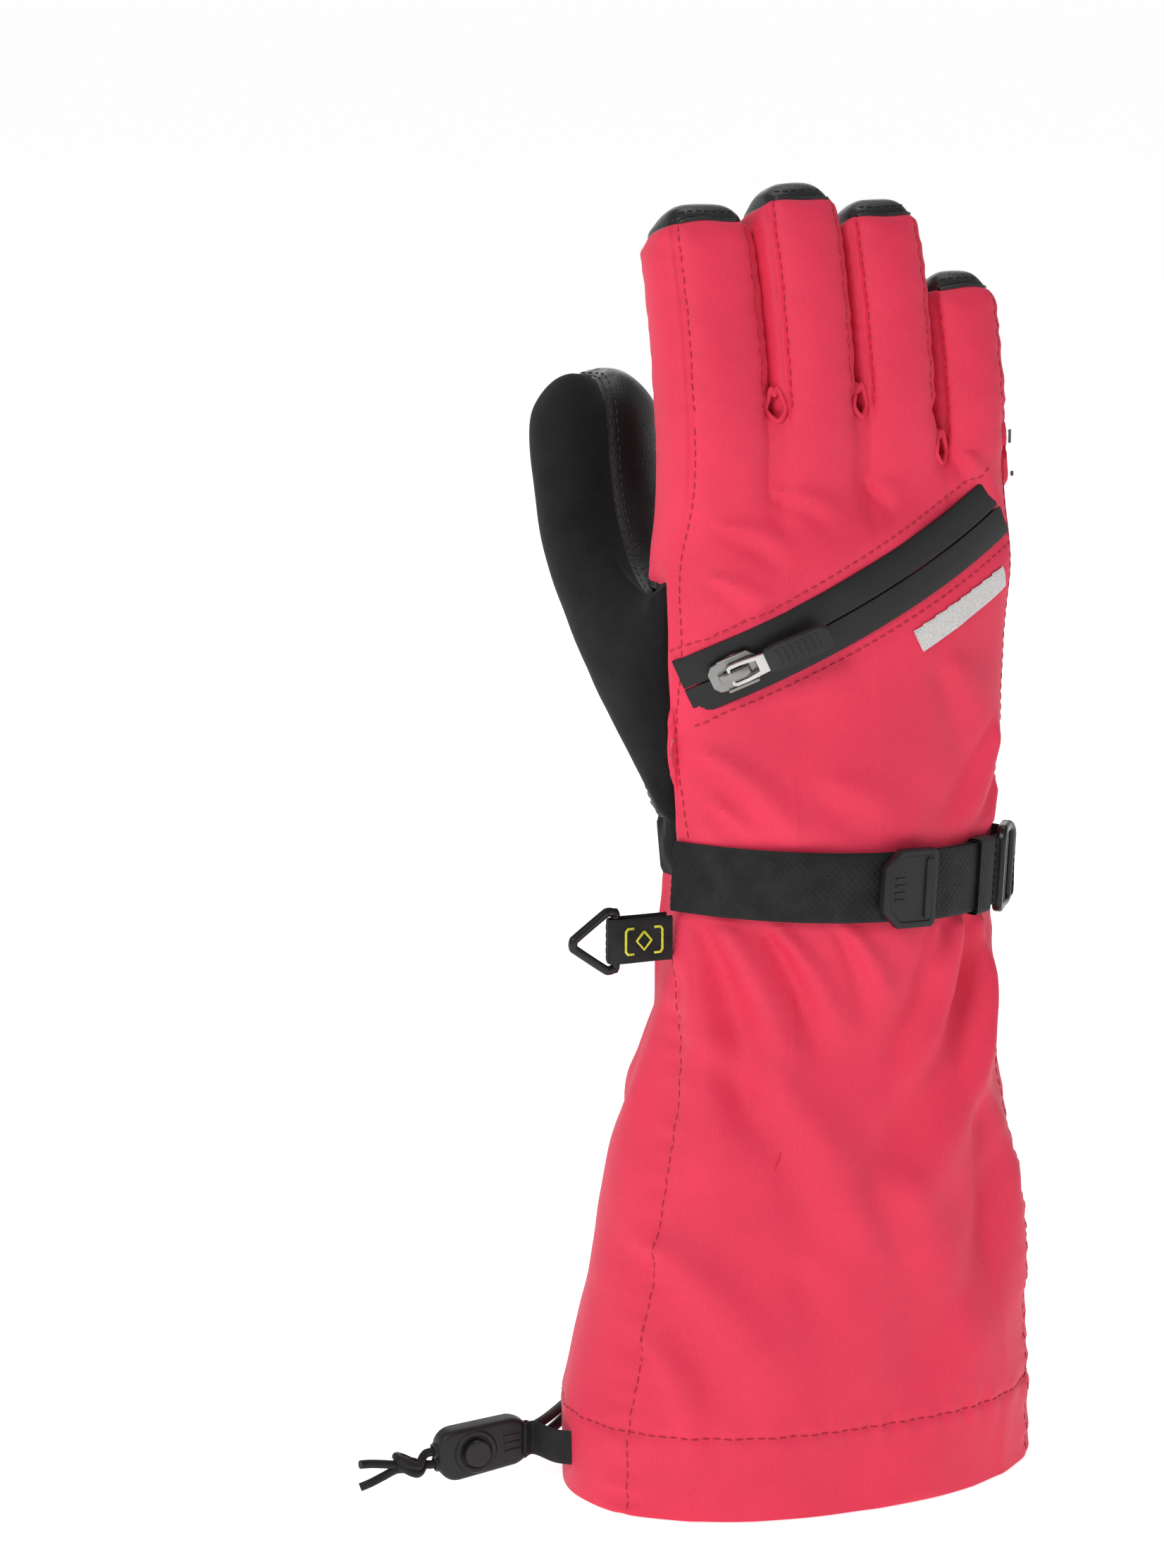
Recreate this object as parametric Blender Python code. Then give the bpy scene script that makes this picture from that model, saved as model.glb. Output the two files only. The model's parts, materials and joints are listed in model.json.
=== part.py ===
"""A right-hand ski glove with a gauntlet cuff, standing on its hem.

+Z runs from the hem to the fingertips, -Y is the back of the hand and +X the little-finger side.
The skin is one block of quads with a column for each finger. Its faces are sorted into the sewn
panels, and each panel is closed as a thin solid of its own. Sizes are in millimetres.
"""

import math

import bmesh
import bpy
import numpy as np
from mathutils import Matrix, Vector

MM = 0.001
CLEAR = 0.3              # between neighbours that touch on the real glove

# Fingers: width, length above the palm-side crotch, centre y at the root, and the crotch they start from.
FINGERS = (
    ("index", 27.0, 67.0, -6.5, "high"),
    ("middle", 24.0, 72.0, -8.0, "high"),
    ("ring", 23.5, 67.0, -6.5, "high"),
    ("little", 22.0, 50.0, -3.5, "low"),
)
FINGER_GAP = 1.2
FINGER_DEPTH = 25.5
FINGER_CURL = math.radians(25)
FINGER_SQUARENESS = 3.2  # superellipse exponent of a finger's section
TIP_ROUND = 9.0
CROTCH = {"low": (287.0, 292.0), "high": (291.0, 306.0)}   # palm side, back side

# Thumb
THUMB_WIDTH = 33.0
THUMB_DEPTH = 28.0
THUMB_TIP = Vector((-48.0, 51.0, 309.0))
THUMB_OUT = Vector((-0.35, 0.94, 0.0)).normalized()   # the way its base faces
THUMB_TIP_ROUND = 12.0

# Hand and gauntlet, from the hem up
HEM_HEIGHT = 24.0
WRIST_Z = 176.0
ROW_Z = (0.0, HEM_HEIGHT, 62.0, 100.0, 135.0, 158.0, WRIST_Z, 192.0, 208.0, 225.0, 242.0, 258.0, 270.0, 281.0)
WRIST_ROW = 6
THUMB_ROWS = (7, 11)
# Outlines by height: half width, centre y, half height of the side wall, back crown, palm crown
HAND_OUTLINE = (
    (135.0, 49.0, -3.0, 9.0, 21.0, 20.0),
    (WRIST_Z, 46.5, -4.0, 9.0, 20.4, 17.5),
    (200.0, 48.0, -4.0, 9.0, 18.5, 18.5),
    (230.0, 50.0, -4.0, 9.0, 16.3, 19.5),
    (260.0, 50.5, -4.0, 8.5, 14.5, 11.0),
    (290.0, 50.0, -5.0, 9.0, 9.0, 5.0),
)
# Gauntlet: height, half width, half depth, centre x
GAUNTLET_OUTLINE = (
    (0.0, 70.0, 44.0, -5.0),
    (HEM_HEIGHT, 70.0, 44.0, -5.0),
    (100.0, 58.0, 38.0, -2.0),
    (150.0, 48.0, 33.0, 0.0),
)
# Heights between which one outline turns into the next
GAUNTLET_TO_HAND = (105.0, 156.0)
HAND_TO_FINGERS = (262.0, 287.0)

# Layers, as depths below the outer surface
LONGEST_MITRE = 3.0
SEAM_GAP = 0.7           # between two sewn panels
LINER_GAP = 2.0
SHELL = (0.0, 1.0)
LINER = (2.0, 4.5)
GAUNTLET_SHELL = (0.0, 1.2)
GAUNTLET_LINING = (1.5, 2.3)
WRIST_ELASTIC = (2.6, 3.4)
POCKET_BAG = (5.0, 5.8)

# Hem channel and drawcord
CORD = 3.0
CHANNEL_WALL = 1.2
EYELET_OUTER, EYELET_HOLE, EYELET_THICK = 13.0, 5.0, 1.2
EYELET_Z = 12.0
EYELET_COLUMN = 1         # counted from the index side

# Zip on the back
ZIP_TILT = math.radians(26)
ZIP_RADIUS = 105.0
ZIP_Z = 254.0
ZIP_SPAN = math.radians(26.5)       # half the zip's length, as an angle
TAPE_WIDTH, TAPE_THICK, TAPE_SLOT, TAPE_LIFT = 17.0, 1.0, 1.8, 0.9
SLIDER_LENGTH, SLIDER_WIDTH = 14.0, 10.0
PULLER_ARM, GRIP_LENGTH, GRIP_WIDTH, GRIP_THICK = 9.0, 19.0, 6.0, 2.6
LABEL_LENGTH, LABEL_WIDTH = 35.0, 6.5

# Wrist strap
STRAP_TILT = math.radians(-3)
STRAP_RADIUS = 62.0
WEBBING_WIDTH, WEBBING_THICK = 19.5, 1.3
STRAP_LIFT = 1.8
TAB_LENGTH, TAB_WIDTH, TAB_THICK = 17.0, 22.0, 3.0
KEEPER_LENGTH, KEEPER_THICK = 7.0, 0.6
LOCK_LENGTH, LOCK_WIDTH, LOCK_THICK = 15.0, 25.0, 3.6

# Leash and cord lock
LEASH_Z, LEASH_WIDTH, LEASH_REACH = 161.0, 12.5, 18.0
RING_ROD, RING_HEIGHT, RING_DEPTH = 2.6, 16.4, 15.0
CORD_LOCK = Vector((28.0, 7.0, 15.0))
CORD_LOCK_CENTRE = Vector((-97.0, 13.0, 12.0))
CORD_LOCK_DROOP = math.radians(6)
BUTTON_RADIUS, BUTTON_TRAVEL = 4.0, 1.5
STRAND = 3.0

# The block's cells
CELLS_WIDE = 3           # across one finger
CELLS_DEEP = 4
COLUMNS = CELLS_WIDE * len(FINGERS) + len(FINGERS) - 1
THUMB_COLUMNS = 3        # how far the thumb's base reaches over the palm
THUMB_SPLIT = 5          # the ring where the thumb bends
FINGER_ROWS = 6
THUMB_RINGS = 9

PINK = (0.78, 0.05, 0.11)
LEATHER = (0.012, 0.012, 0.013)
SUEDE = (0.02, 0.02, 0.021)
LINING = (0.05, 0.05, 0.055)
WEBBING = (0.01, 0.01, 0.011)
PLASTIC = (0.016, 0.016, 0.017)
NICKEL = (0.6, 0.6, 0.58)
RUBBER = (0.03, 0.03, 0.032)
GREY = (0.5, 0.5, 0.5)


# ---------------------------------------------------------------- objects and materials

def material(name, colour, roughness, metallic=0.0):
    """A plain Principled material, made once for each name."""
    found = bpy.data.materials.get(name)
    if found:
        return found
    made = bpy.data.materials.new(name)
    made.use_nodes = True
    shader = made.node_tree.nodes["Principled BSDF"]
    shader.inputs["Base Color"].default_value = (*colour, 1.0)
    shader.inputs["Roughness"].default_value = roughness
    shader.inputs["Metallic"].default_value = metallic
    return made


MATERIALS = {
    "pink": ("softshell", PINK, 0.75, 0.0),
    "leather": ("leather", LEATHER, 0.45, 0.0),
    "suede": ("suede", SUEDE, 0.95, 0.0),
    "lining": ("lining", LINING, 0.9, 0.0),
    "webbing": ("webbing", WEBBING, 0.8, 0.0),
    "plastic": ("plastic", PLASTIC, 0.4, 0.0),
    "nickel": ("nickel", NICKEL, 0.25, 1.0),
    "rubber": ("rubber", RUBBER, 0.7, 0.0),
    "grey": ("grey_thread", GREY, 0.8, 0.0),
}


def add(name, bm, kind, pivot=Vector()):
    """Turn a bmesh in millimetres into an object whose origin is at pivot."""
    bmesh.ops.recalc_face_normals(bm, faces=bm.faces)
    bmesh.ops.translate(bm, verts=bm.verts, vec=-pivot)
    bmesh.ops.scale(bm, verts=bm.verts, vec=(MM, MM, MM))
    mesh = bpy.data.meshes.new(name)
    bm.to_mesh(mesh)
    bm.free()
    mesh.materials.append(material(*MATERIALS[kind]))
    mesh.shade_smooth()
    mesh.set_sharp_from_angle(angle=math.radians(40))
    made = bpy.data.objects.new(name, mesh)
    made.location = pivot * MM
    bpy.context.scene.collection.objects.link(made)
    return made


def box(size, centre=Vector()):
    bm = bmesh.new()
    bmesh.ops.create_cube(bm, size=1.0)
    bmesh.ops.scale(bm, verts=bm.verts, vec=size)
    bmesh.ops.translate(bm, verts=bm.verts, vec=centre)
    return bm


def plate(outline, thickness, hole=None):
    """Extrude an outline in local XY by thickness along Z, with one hole if an outline is given."""
    bm = bmesh.new()
    rims = []
    for points in (outline, hole) if hole else (outline,):
        verts = [bm.verts.new((x, y, 0.0)) for x, y in points]
        rims += [bm.edges.new((a, b)) for a, b in zip(verts, verts[1:] + verts[:1])]
    if hole:
        bmesh.ops.bridge_loops(bm, edges=rims)
    else:
        bmesh.ops.contextual_create(bm, geom=rims)
    grown = bmesh.ops.extrude_face_region(bm, geom=bm.verts[:] + bm.edges[:] + bm.faces[:], use_keep_orig=True)["geom"]
    top = [g for g in grown if isinstance(g, bmesh.types.BMVert)]
    bmesh.ops.translate(bm, verts=top, vec=(0.0, 0.0, thickness))
    return bm


def round_box_outline(length, width, radius, steps=3):
    """Corners of a rounded rectangle, anticlockwise."""
    points = []
    for quarter, (sx, sy) in enumerate(((1, 1), (-1, 1), (-1, -1), (1, -1))):
        for step in range(steps + 1):
            turn = math.radians(90) * (quarter + step / steps)
            points.append((sx * (length / 2 - radius) + radius * math.cos(turn),
                           sy * (width / 2 - radius) + radius * math.sin(turn)))
    return points


def tube(name, points, diameter, kind, cyclic=False, resolution=2):
    """A round cord through the given points, as a curve with filled caps."""
    curve = bpy.data.curves.new(name, "CURVE")
    curve.dimensions = "3D"
    curve.bevel_depth = diameter / 2 * MM
    curve.bevel_resolution = resolution
    curve.use_fill_caps = not cyclic
    spline = curve.splines.new("POLY")
    spline.points.add(len(points) - 1)
    for point, place in zip(spline.points, points):
        point.co = (*(Vector(place) * MM), 1.0)
    spline.use_cyclic_u = cyclic
    curve.materials.append(material(*MATERIALS[kind]))
    made = bpy.data.objects.new(name, curve)
    bpy.context.scene.collection.objects.link(made)
    return made


def closed_loft(rings):
    """Join closed rings of points, each to the next and the last to the first, like a tyre."""
    bm = bmesh.new()
    loops = [[bm.verts.new(point) for point in ring] for ring in rings]
    for low, high in zip(loops, loops[1:] + loops[:1]):
        for step in range(len(low)):
            bm.faces.new((low[step - 1], low[step], high[step], high[step - 1]))
    return bm


def smooth(low, high, value):
    t = min(1.0, max(0.0, (value - low) / (high - low)))
    return t * t * (3.0 - 2.0 * t)


def mix(a, b, t):
    return a + (b - a) * t


def table(rows, height):
    """Read a row of sizes at a height from rows that start with their height."""
    heights = [row[0] for row in rows]
    return [float(np.interp(height, heights, column)) for column in list(zip(*rows))[1:]]


def superellipse(u, v, exponent):
    """The point where the ray to (u, v) of the unit square's edge meets a superellipse."""
    reach = max(abs(u), abs(v))
    turn = math.atan2(v, u)
    c, s = math.cos(turn), math.sin(turn)
    power = 2.0 / exponent
    return (reach * math.copysign(abs(c) ** power, c), reach * math.copysign(abs(s) ** power, s))


# ---------------------------------------------------------------- arcs that the zip and the strap follow

class Arc:
    """A round path over the back of the hand: angle 0 faces -Y, and the path runs towards +X."""

    def __init__(self, tilt, radius, top_y, z):
        self.along = Vector((math.cos(tilt), 0.0, math.sin(tilt)))
        self.axis = Vector((-math.sin(tilt), 0.0, math.cos(tilt)))
        self.radius = radius
        self.centre = Vector((0.0, top_y + radius, z))

    def frame(self):
        """Local X along the path at angle 0, local Y inwards, local Z along the axis."""
        turn = Matrix((self.along, Vector((0.0, 1.0, 0.0)), self.axis)).transposed()
        return Matrix.Translation(self.centre) @ turn.to_4x4()

    def frame_at(self, angle, height=0.0):
        """The same axes at a point of the path, height millimetres outside its surface."""
        return self.frame() @ Matrix.Rotation(angle, 4, "Z") @ Matrix.Translation((0.0, -self.radius - height, 0.0))

    def strip(self, low, high, bottom, top, start, end):
        """A band between two heights over the surface, two places on the axis and two angles."""
        bm = bmesh.new()
        corners = [(0.0, -self.radius - r, z) for r, z in ((low, bottom), (high, bottom), (high, top), (low, top))]
        verts = [bm.verts.new(co) for co in corners]
        bm.faces.new(verts)
        bmesh.ops.rotate(bm, verts=bm.verts, matrix=Matrix.Rotation(start, 3, "Z"))
        steps = max(1, round(math.degrees(end - start) / 4))
        bmesh.ops.spin(bm, geom=bm.verts[:] + bm.edges[:] + bm.faces[:], axis=(0.0, 0.0, 1.0),
                       steps=steps, angle=end - start)
        bmesh.ops.transform(bm, verts=bm.verts, matrix=self.frame())
        return bm


def back_y(z):
    """The back of the hand's middle line."""
    _, centre, side, crown, _ = table(HAND_OUTLINE, z)
    return centre - side - crown


ZIP = Arc(ZIP_TILT, ZIP_RADIUS, back_y(ZIP_Z), ZIP_Z)
STRAP = Arc(STRAP_TILT, STRAP_RADIUS, back_y(WRIST_Z), WRIST_Z)


# ---------------------------------------------------------------- the skin's shape

def finger_centres():
    """The x of each finger's middle, with the row of fingers centred on x = 0."""
    widths = [width for _, width, *_ in FINGERS]
    x = -(sum(widths) + FINGER_GAP * (len(widths) - 1)) / 2
    centres = []
    for width in widths:
        centres.append(x + width / 2)
        x += width + FINGER_GAP
    return centres


CENTRES = finger_centres()
KNUCKLE_HALF = CENTRES[-1] + FINGERS[-1][1] / 2


def column_place(column):
    """Which finger a column of vertices belongs to, and where across it, from -1 to 1."""
    finger = min(column // (CELLS_WIDE + 1), len(FINGERS) - 1)
    local = column - finger * (CELLS_WIDE + 1)
    return finger, 2.0 * local / CELLS_WIDE - 1.0


def hand_outline(across, deep, z):
    """A point of the hand's outline: crowned back and palm between straight side walls."""
    half, centre, side, back_crown, palm_crown = table(HAND_OUTLINE, z)
    x = across * half
    if abs(deep) < 1.0:
        return Vector((x, centre + side * deep, z))
    if deep > 0:
        return Vector((x, centre + side + palm_crown * (1.0 - abs(across) ** 2.4), z))
    radius = (half ** 2 + back_crown ** 2) / (2.0 * back_crown)
    level = centre - side - back_crown + radius - math.sqrt(radius ** 2 - x ** 2)
    return Vector((x, mix(level, arc_level(ZIP, x, z), near_arc(ZIP, x, z, 12.0, 30.0)), z))


def arc_level(arc, x, z):
    """The y of an arc's surface in front of the point (x, z)."""
    along = (x - arc.centre.x) * arc.along.x + (z - arc.centre.z) * arc.along.z
    return arc.centre.y - math.sqrt(max(arc.radius ** 2 - along ** 2, 1.0))


def near_arc(arc, x, z, full, none):
    off = abs((x - arc.centre.x) * arc.axis.x + (z - arc.centre.z) * arc.axis.z)
    return 1.0 - smooth(full, none, off)


def gauntlet_outline(across, deep, z):
    half, depth, centre = table(GAUNTLET_OUTLINE, z)
    x, y = superellipse(across, deep, 2.2)
    return Vector((centre + half * x, depth * y, z))


def finger_outline(finger, u, v):
    """Offsets of a finger's outline from its middle."""
    x, y = superellipse(u, v, FINGER_SQUARENESS)
    return x * FINGERS[finger][1] / 2, y * FINGER_DEPTH / 2


def hinge_y(finger):
    return FINGERS[finger][3] + FINGER_DEPTH / 2


def crotch_z(finger, level, y):
    """The sloping plane between the hand and a finger, through the finger's hinge."""
    palm_z, back_z = CROTCH[level]
    return palm_z + (hinge_y(finger) - y) * (back_z - palm_z) / FINGER_DEPTH


def body_point(column, depth_row, row):
    """A vertex of the gauntlet or the hand, up to the fingers' roots."""
    finger, u = column_place(column)
    v = 2.0 * depth_row / CELLS_DEEP - 1.0
    across = (CENTRES[finger] + u * FINGERS[finger][1] / 2) / KNUCKLE_HALF
    level = ("low", "high")[row - len(ROW_Z)] if row >= len(ROW_Z) else None
    z = sum(CROTCH[level]) / 2 if level else ROW_Z[row]
    whole = hand_outline(across, v, z)
    if z < GAUNTLET_TO_HAND[1]:
        whole = mix(gauntlet_outline(across, v, z), whole, smooth(*GAUNTLET_TO_HAND, z))
    dx, dy = finger_outline(finger, u, v)
    apart = Vector((CENTRES[finger] + dx, FINGERS[finger][3] + dy, z))
    under_zip = near_arc(ZIP, whole.x, z, TAPE_WIDTH / 2, TAPE_WIDTH) if v < 0 else 0.0
    place = mix(whole, apart, smooth(*HAND_TO_FINGERS, z) * (1.0 - under_zip))
    if level:
        place.z = crotch_z(finger, level, place.y)
    return place


def finger_point(finger, u, v, row):
    """A vertex of a finger, row 0 being its root. The finger curls along a circular arc."""
    _, _, length, middle_y, level = FINGERS[finger]
    dx, dy = finger_outline(finger, u, v)
    straight = length - TIP_ROUND
    root = crotch_z(finger, level, middle_y + dy) - CROTCH[level][0]
    straight_rows = FINGER_ROWS - 3
    if row <= straight_rows:
        share = row / straight_rows
        along = mix(root, straight, share)
        shrink = 0.0
    else:
        turn = math.radians((30, 60, 82)[row - straight_rows - 1])
        along = straight + TIP_ROUND * math.sin(turn)
        shrink = TIP_ROUND * (1.0 - math.cos(turn))
    dx *= 1.0 - shrink / (FINGERS[finger][1] / 2)
    dy *= 1.0 - shrink / (FINGER_DEPTH / 2)
    bend = FINGER_CURL / length
    angle = bend * along
    y = middle_y + (1.0 - math.cos(angle)) / bend + dy * math.cos(angle)
    z = CROTCH[level][0] + math.sin(angle) / bend - dy * math.sin(angle)
    return Vector((CENTRES[finger] + dx, y, z))


def thumb_cell(column, depth_row, row):
    """Where a vertex of the thumb's base sits on its square: round the corner, and up."""
    around = depth_row - 1 if column == 0 and depth_row < CELLS_DEEP else CELLS_DEEP - 1 + column
    count = CELLS_DEEP - 1 + THUMB_COLUMNS
    low, high = THUMB_ROWS
    return 2.0 * around / count - 1.0, 2.0 * (row - low) / (high - low) - 1.0


def thumb_axis(share):
    """The thumb's middle line and its direction, a Bezier curve from the base to the tip."""
    start = thumb_base()
    points = (start, start + THUMB_OUT * 16 + Vector((0, 0, 14)), THUMB_TIP - Vector((0, 0, 45)), THUMB_TIP)
    a, b, c, d = points
    t, s = share, 1.0 - share
    place = a * s ** 3 + b * (3 * s * s * t) + c * (3 * s * t * t) + d * t ** 3
    heading = (b - a) * (3 * s * s) + (c - b) * (6 * s * t) + (d - c) * (3 * t * t)
    return place, heading.normalized()


def thumb_base():
    low, high = THUMB_ROWS
    z = (ROW_Z[low] + ROW_Z[high]) / 2
    return hand_outline(-0.88, 1.0, z) + Vector((0.0, -6.0, 0.0))


def thumb_frame(share):
    """The thumb's middle, its two cross directions (palm side, up the hand) and its heading."""
    place, heading = thumb_axis(share)
    side = THUMB_OUT.cross(Vector((0.0, 0.0, 1.0)))
    side = (side - heading * side.dot(heading)).normalized()
    return place, side, side.cross(heading), heading


def thumb_point(column, depth_row, row, ring):
    """A vertex of the thumb, ring 0 being the hand's own surface."""
    base = body_point(column, depth_row, row)
    p, q = thumb_cell(column, depth_row, row)
    straight_rings = THUMB_RINGS - 3
    length = (THUMB_TIP - thumb_base()).length
    straight = 1.0 - THUMB_TIP_ROUND / length
    if ring <= straight_rings:
        share, shrink = straight * ring / straight_rings, 0.0
    else:
        turn = math.radians((32, 62, 82)[ring - straight_rings - 1])
        share = straight + (1.0 - straight) * math.sin(turn)
        shrink = THUMB_TIP_ROUND * (1.0 - math.cos(turn))
    place, side, up, _ = thumb_frame(share)
    x, y = superellipse(p, q, 2.6)
    round_place = place + side * (x * (THUMB_WIDTH / 2 - shrink)) + up * (y * (THUMB_DEPTH / 2 - shrink))
    return mix(base, round_place, smooth(0.0, THUMB_SPLIT - 1.0, ring))


# ---------------------------------------------------------------- the block

def faces_of(geometry):
    return [g for g in geometry if isinstance(g, bmesh.types.BMFace)]


def raise_faces(bm, faces):
    """Extrude a patch of faces one row up, leaving it hollow, and return its new top."""
    grown = bmesh.ops.extrude_face_region(bm, geom=faces)["geom"]
    bmesh.ops.delete(bm, geom=faces, context="FACES")
    bmesh.ops.translate(bm, verts=[g for g in grown if isinstance(g, bmesh.types.BMVert)], vec=(0.0, 0.0, 1.0))
    return faces_of(grown)


def build_block():
    """The glove's skin on whole-number places: column, depth row and row, with a ring layer for the thumb."""
    bm = bmesh.new()
    ring_layer = bm.verts.layers.int.new("ring")
    bmesh.ops.create_grid(bm, x_segments=COLUMNS, y_segments=CELLS_DEEP, size=0.5)
    bmesh.ops.translate(bm, verts=bm.verts, vec=(0.5, 0.5, 0.0))
    bmesh.ops.scale(bm, verts=bm.verts, vec=(COLUMNS, CELLS_DEEP, 1.0))
    top = bm.faces[:]
    for _ in range(len(ROW_Z)):
        top = raise_faces(bm, top)
    high_fingers = sum(level == "high" for *_, level in FINGERS)
    high_edge = high_fingers * (CELLS_WIDE + 1) - 1
    high = raise_faces(bm, [f for f in top if f.calc_center_median().x < high_edge])
    roots = high + [f for f in top if f.is_valid and f.calc_center_median().x > high_edge]
    for finger in range(len(FINGERS)):
        first = finger * (CELLS_WIDE + 1)
        column = [f for f in roots if f.is_valid and first < f.calc_center_median().x < first + CELLS_WIDE]
        for _ in range(FINGER_ROWS):
            column = raise_faces(bm, column)
    low, high_row = THUMB_ROWS
    patch = []
    for face in bm.faces:
        x, y, z = face.calc_center_median()
        on_side = x == 0 and y > 1
        on_palm = y == CELLS_DEEP and x < THUMB_COLUMNS
        if low < z < high_row and (on_side or on_palm):
            patch.append(face)
    for ring in range(1, THUMB_RINGS + 1):
        grown = bmesh.ops.extrude_face_region(bm, geom=patch)["geom"]
        bmesh.ops.delete(bm, geom=patch, context="FACES")
        for vert in (g for g in grown if isinstance(g, bmesh.types.BMVert)):
            vert[ring_layer] = ring
        patch = faces_of(grown)
    for vert in bm.verts:
        vert.co = [round(c) for c in vert.co]
    return bm, ring_layer


def root_row(finger):
    return len(ROW_Z) + (FINGERS[finger][4] == "high")


class Skin:
    """The block bent to shape, with each face's body and panel and each vertex's inward direction."""

    def __init__(self):
        bm, ring_layer = build_block()
        bm.verts.index_update()
        grid = [(tuple(round(c) for c in v.co), v[ring_layer]) for v in bm.verts]
        self.points = [self.bend(*place, ring) for place, ring in grid]
        for vert, place in zip(bm.verts, self.points):
            vert.co = place
        bmesh.ops.recalc_face_normals(bm, faces=bm.faces)
        if bm.calc_volume(signed=True) < 0:
            bmesh.ops.reverse_faces(bm, faces=bm.faces)
        bm.normal_update()
        self.faces = []
        for face in bm.faces:
            corners = [v.index for v in face.verts]
            self.faces.append((corners, self.sort([grid[c] for c in corners])))
        self.inward = [self.mitre(v) for v in bm.verts]
        bm.free()

    @staticmethod
    def bend(column, depth_row, row, ring):
        if ring:
            return thumb_point(column, depth_row, row, ring)
        finger, u = column_place(column)
        above = row - root_row(finger)
        if above > 0:
            return finger_point(finger, u, 2.0 * depth_row / CELLS_DEEP - 1.0, above)
        return body_point(column, depth_row, row)

    @staticmethod
    def mitre(vert):
        """The offset that moves every face at a vertex inwards by one millimetre."""
        normals = np.array([f.normal for f in vert.link_faces])
        step = np.linalg.lstsq(normals, -np.ones(len(normals)), rcond=0.15)[0]
        size = np.linalg.norm(step)
        return Vector(step * min(1.0, LONGEST_MITRE / size))

    @staticmethod
    def sort(corners):
        """The body and the panel of a face, from its corners' places in the block."""
        columns, depths, rows = zip(*(place for place, _ in corners))
        rings = [ring for _, ring in corners]
        low, high = THUMB_ROWS
        if max(rings):
            body = "thumb" if min(rings) >= THUMB_SPLIT else "hand"
            around = sum(thumb_cell(*place)[0] for place, _ in corners) / len(corners)
            return body, "suede" if around < -0.3 else "thumb_leather"
        finger = min(min(columns) // (CELLS_WIDE + 1), len(FINGERS) - 1)
        first = finger * (CELLS_WIDE + 1)
        if min(rows) >= root_row(finger) and first <= min(columns) and max(columns) <= first + CELLS_WIDE:
            body = FINGERS[finger][0]
            leather_from = root_row(finger) + FINGER_ROWS - 2
            if min(depths) == CELLS_DEEP or min(rows) >= leather_from:
                return body, "front"
            if max(depths) == 0:
                return body, "back"
            return body, "side_a" if max(columns) == first else "side_b"
        body = "gauntlet" if max(rows) <= WRIST_ROW else "hand"
        if body == "gauntlet":
            on_back = max(depths) == 0 or (max(depths) <= 1 and max(columns) - min(columns) == 0)
            return body, "gauntlet_back" if on_back else "gauntlet_palm"
        if min(depths) == CELLS_DEEP:
            return body, "palm"
        if max(columns) == 0 and max(depths) > 0:
            if max(depths) > 1 and max(rows) <= low:
                return body, "suede"
            return body, "index_side"
        if min(columns) == COLUMNS:
            return body, "little_side"
        return body, "back"

    def pick(self, test):
        return [corners for corners, tags in self.faces if test(corners, *tags)]

    def closed(self, faces, depth, gap=SEAM_GAP):
        """Close a patch of the skin between two depths, its border drawn in by half the gap."""
        outer, inner = depth
        used = sorted({c for face in faces for c in face})
        bm = bmesh.new()
        verts = {c: bm.verts.new(self.points[c]) for c in used}
        for face in faces:
            bm.faces.new([verts[c] for c in face])
        bm.normal_update()
        shift = {c: Vector() for c in used}
        for c in used:
            borders = []
            for edge in verts[c].link_edges:
                if len(edge.link_faces) == 1:
                    face = edge.link_faces[0]
                    across = face.normal.cross(edge.verts[1].co - edge.verts[0].co).normalized()
                    inside = face.calc_center_median() - edge.verts[0].co
                    borders.append(across if across.dot(inside) > 0 else -across)
            if len(borders) == 2:
                shift[c] = (borders[0] + borders[1]) * (gap / 2 / max(0.4, 1.0 + borders[0].dot(borders[1])))
        bmesh.ops.recalc_face_normals(bm, faces=bm.faces)
        grown = bmesh.ops.extrude_face_region(bm, geom=bm.verts[:] + bm.edges[:] + bm.faces[:], use_keep_orig=True)["geom"]
        lookup = {tuple(self.points[c]): c for c in used}
        deep = {g for g in grown if isinstance(g, bmesh.types.BMVert)}
        places = {}
        for vert in bm.verts:
            c = self.nearest(lookup, vert.co)
            places[vert] = Vector(self.points[c]) + shift[c] + self.inward[c] * (inner if vert in deep else outer)
        for vert, place in places.items():
            vert.co = place
        return bm

    @staticmethod
    def nearest(lookup, co):
        key = tuple(co)
        if key in lookup:
            return lookup[key]
        return min(lookup.items(), key=lambda item: (Vector(item[0]) - co).length_squared)[1]


# ---------------------------------------------------------------- sewn pieces

def make_gauntlet(skin):
    for panel in ("gauntlet_back", "gauntlet_palm"):
        faces = skin.pick(lambda corners, body, name: name == panel)
        add(panel, skin.closed(faces, GAUNTLET_SHELL), "pink")
    inside = skin.pick(lambda corners, body, name: body == "gauntlet"
                       and min(skin.points[c].z for c in corners) > HEM_HEIGHT - 1)
    add("gauntlet_lining", skin.closed(inside, GAUNTLET_LINING), "lining")
    band = skin.pick(lambda corners, body, name: name == "gauntlet_palm"
                     and min(skin.points[c].z for c in corners) > WRIST_Z - 20
                     and min(skin.points[c].y for c in corners) > 0)
    add("wrist_elastic", skin.closed(band, WRIST_ELASTIC), "webbing")


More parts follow.
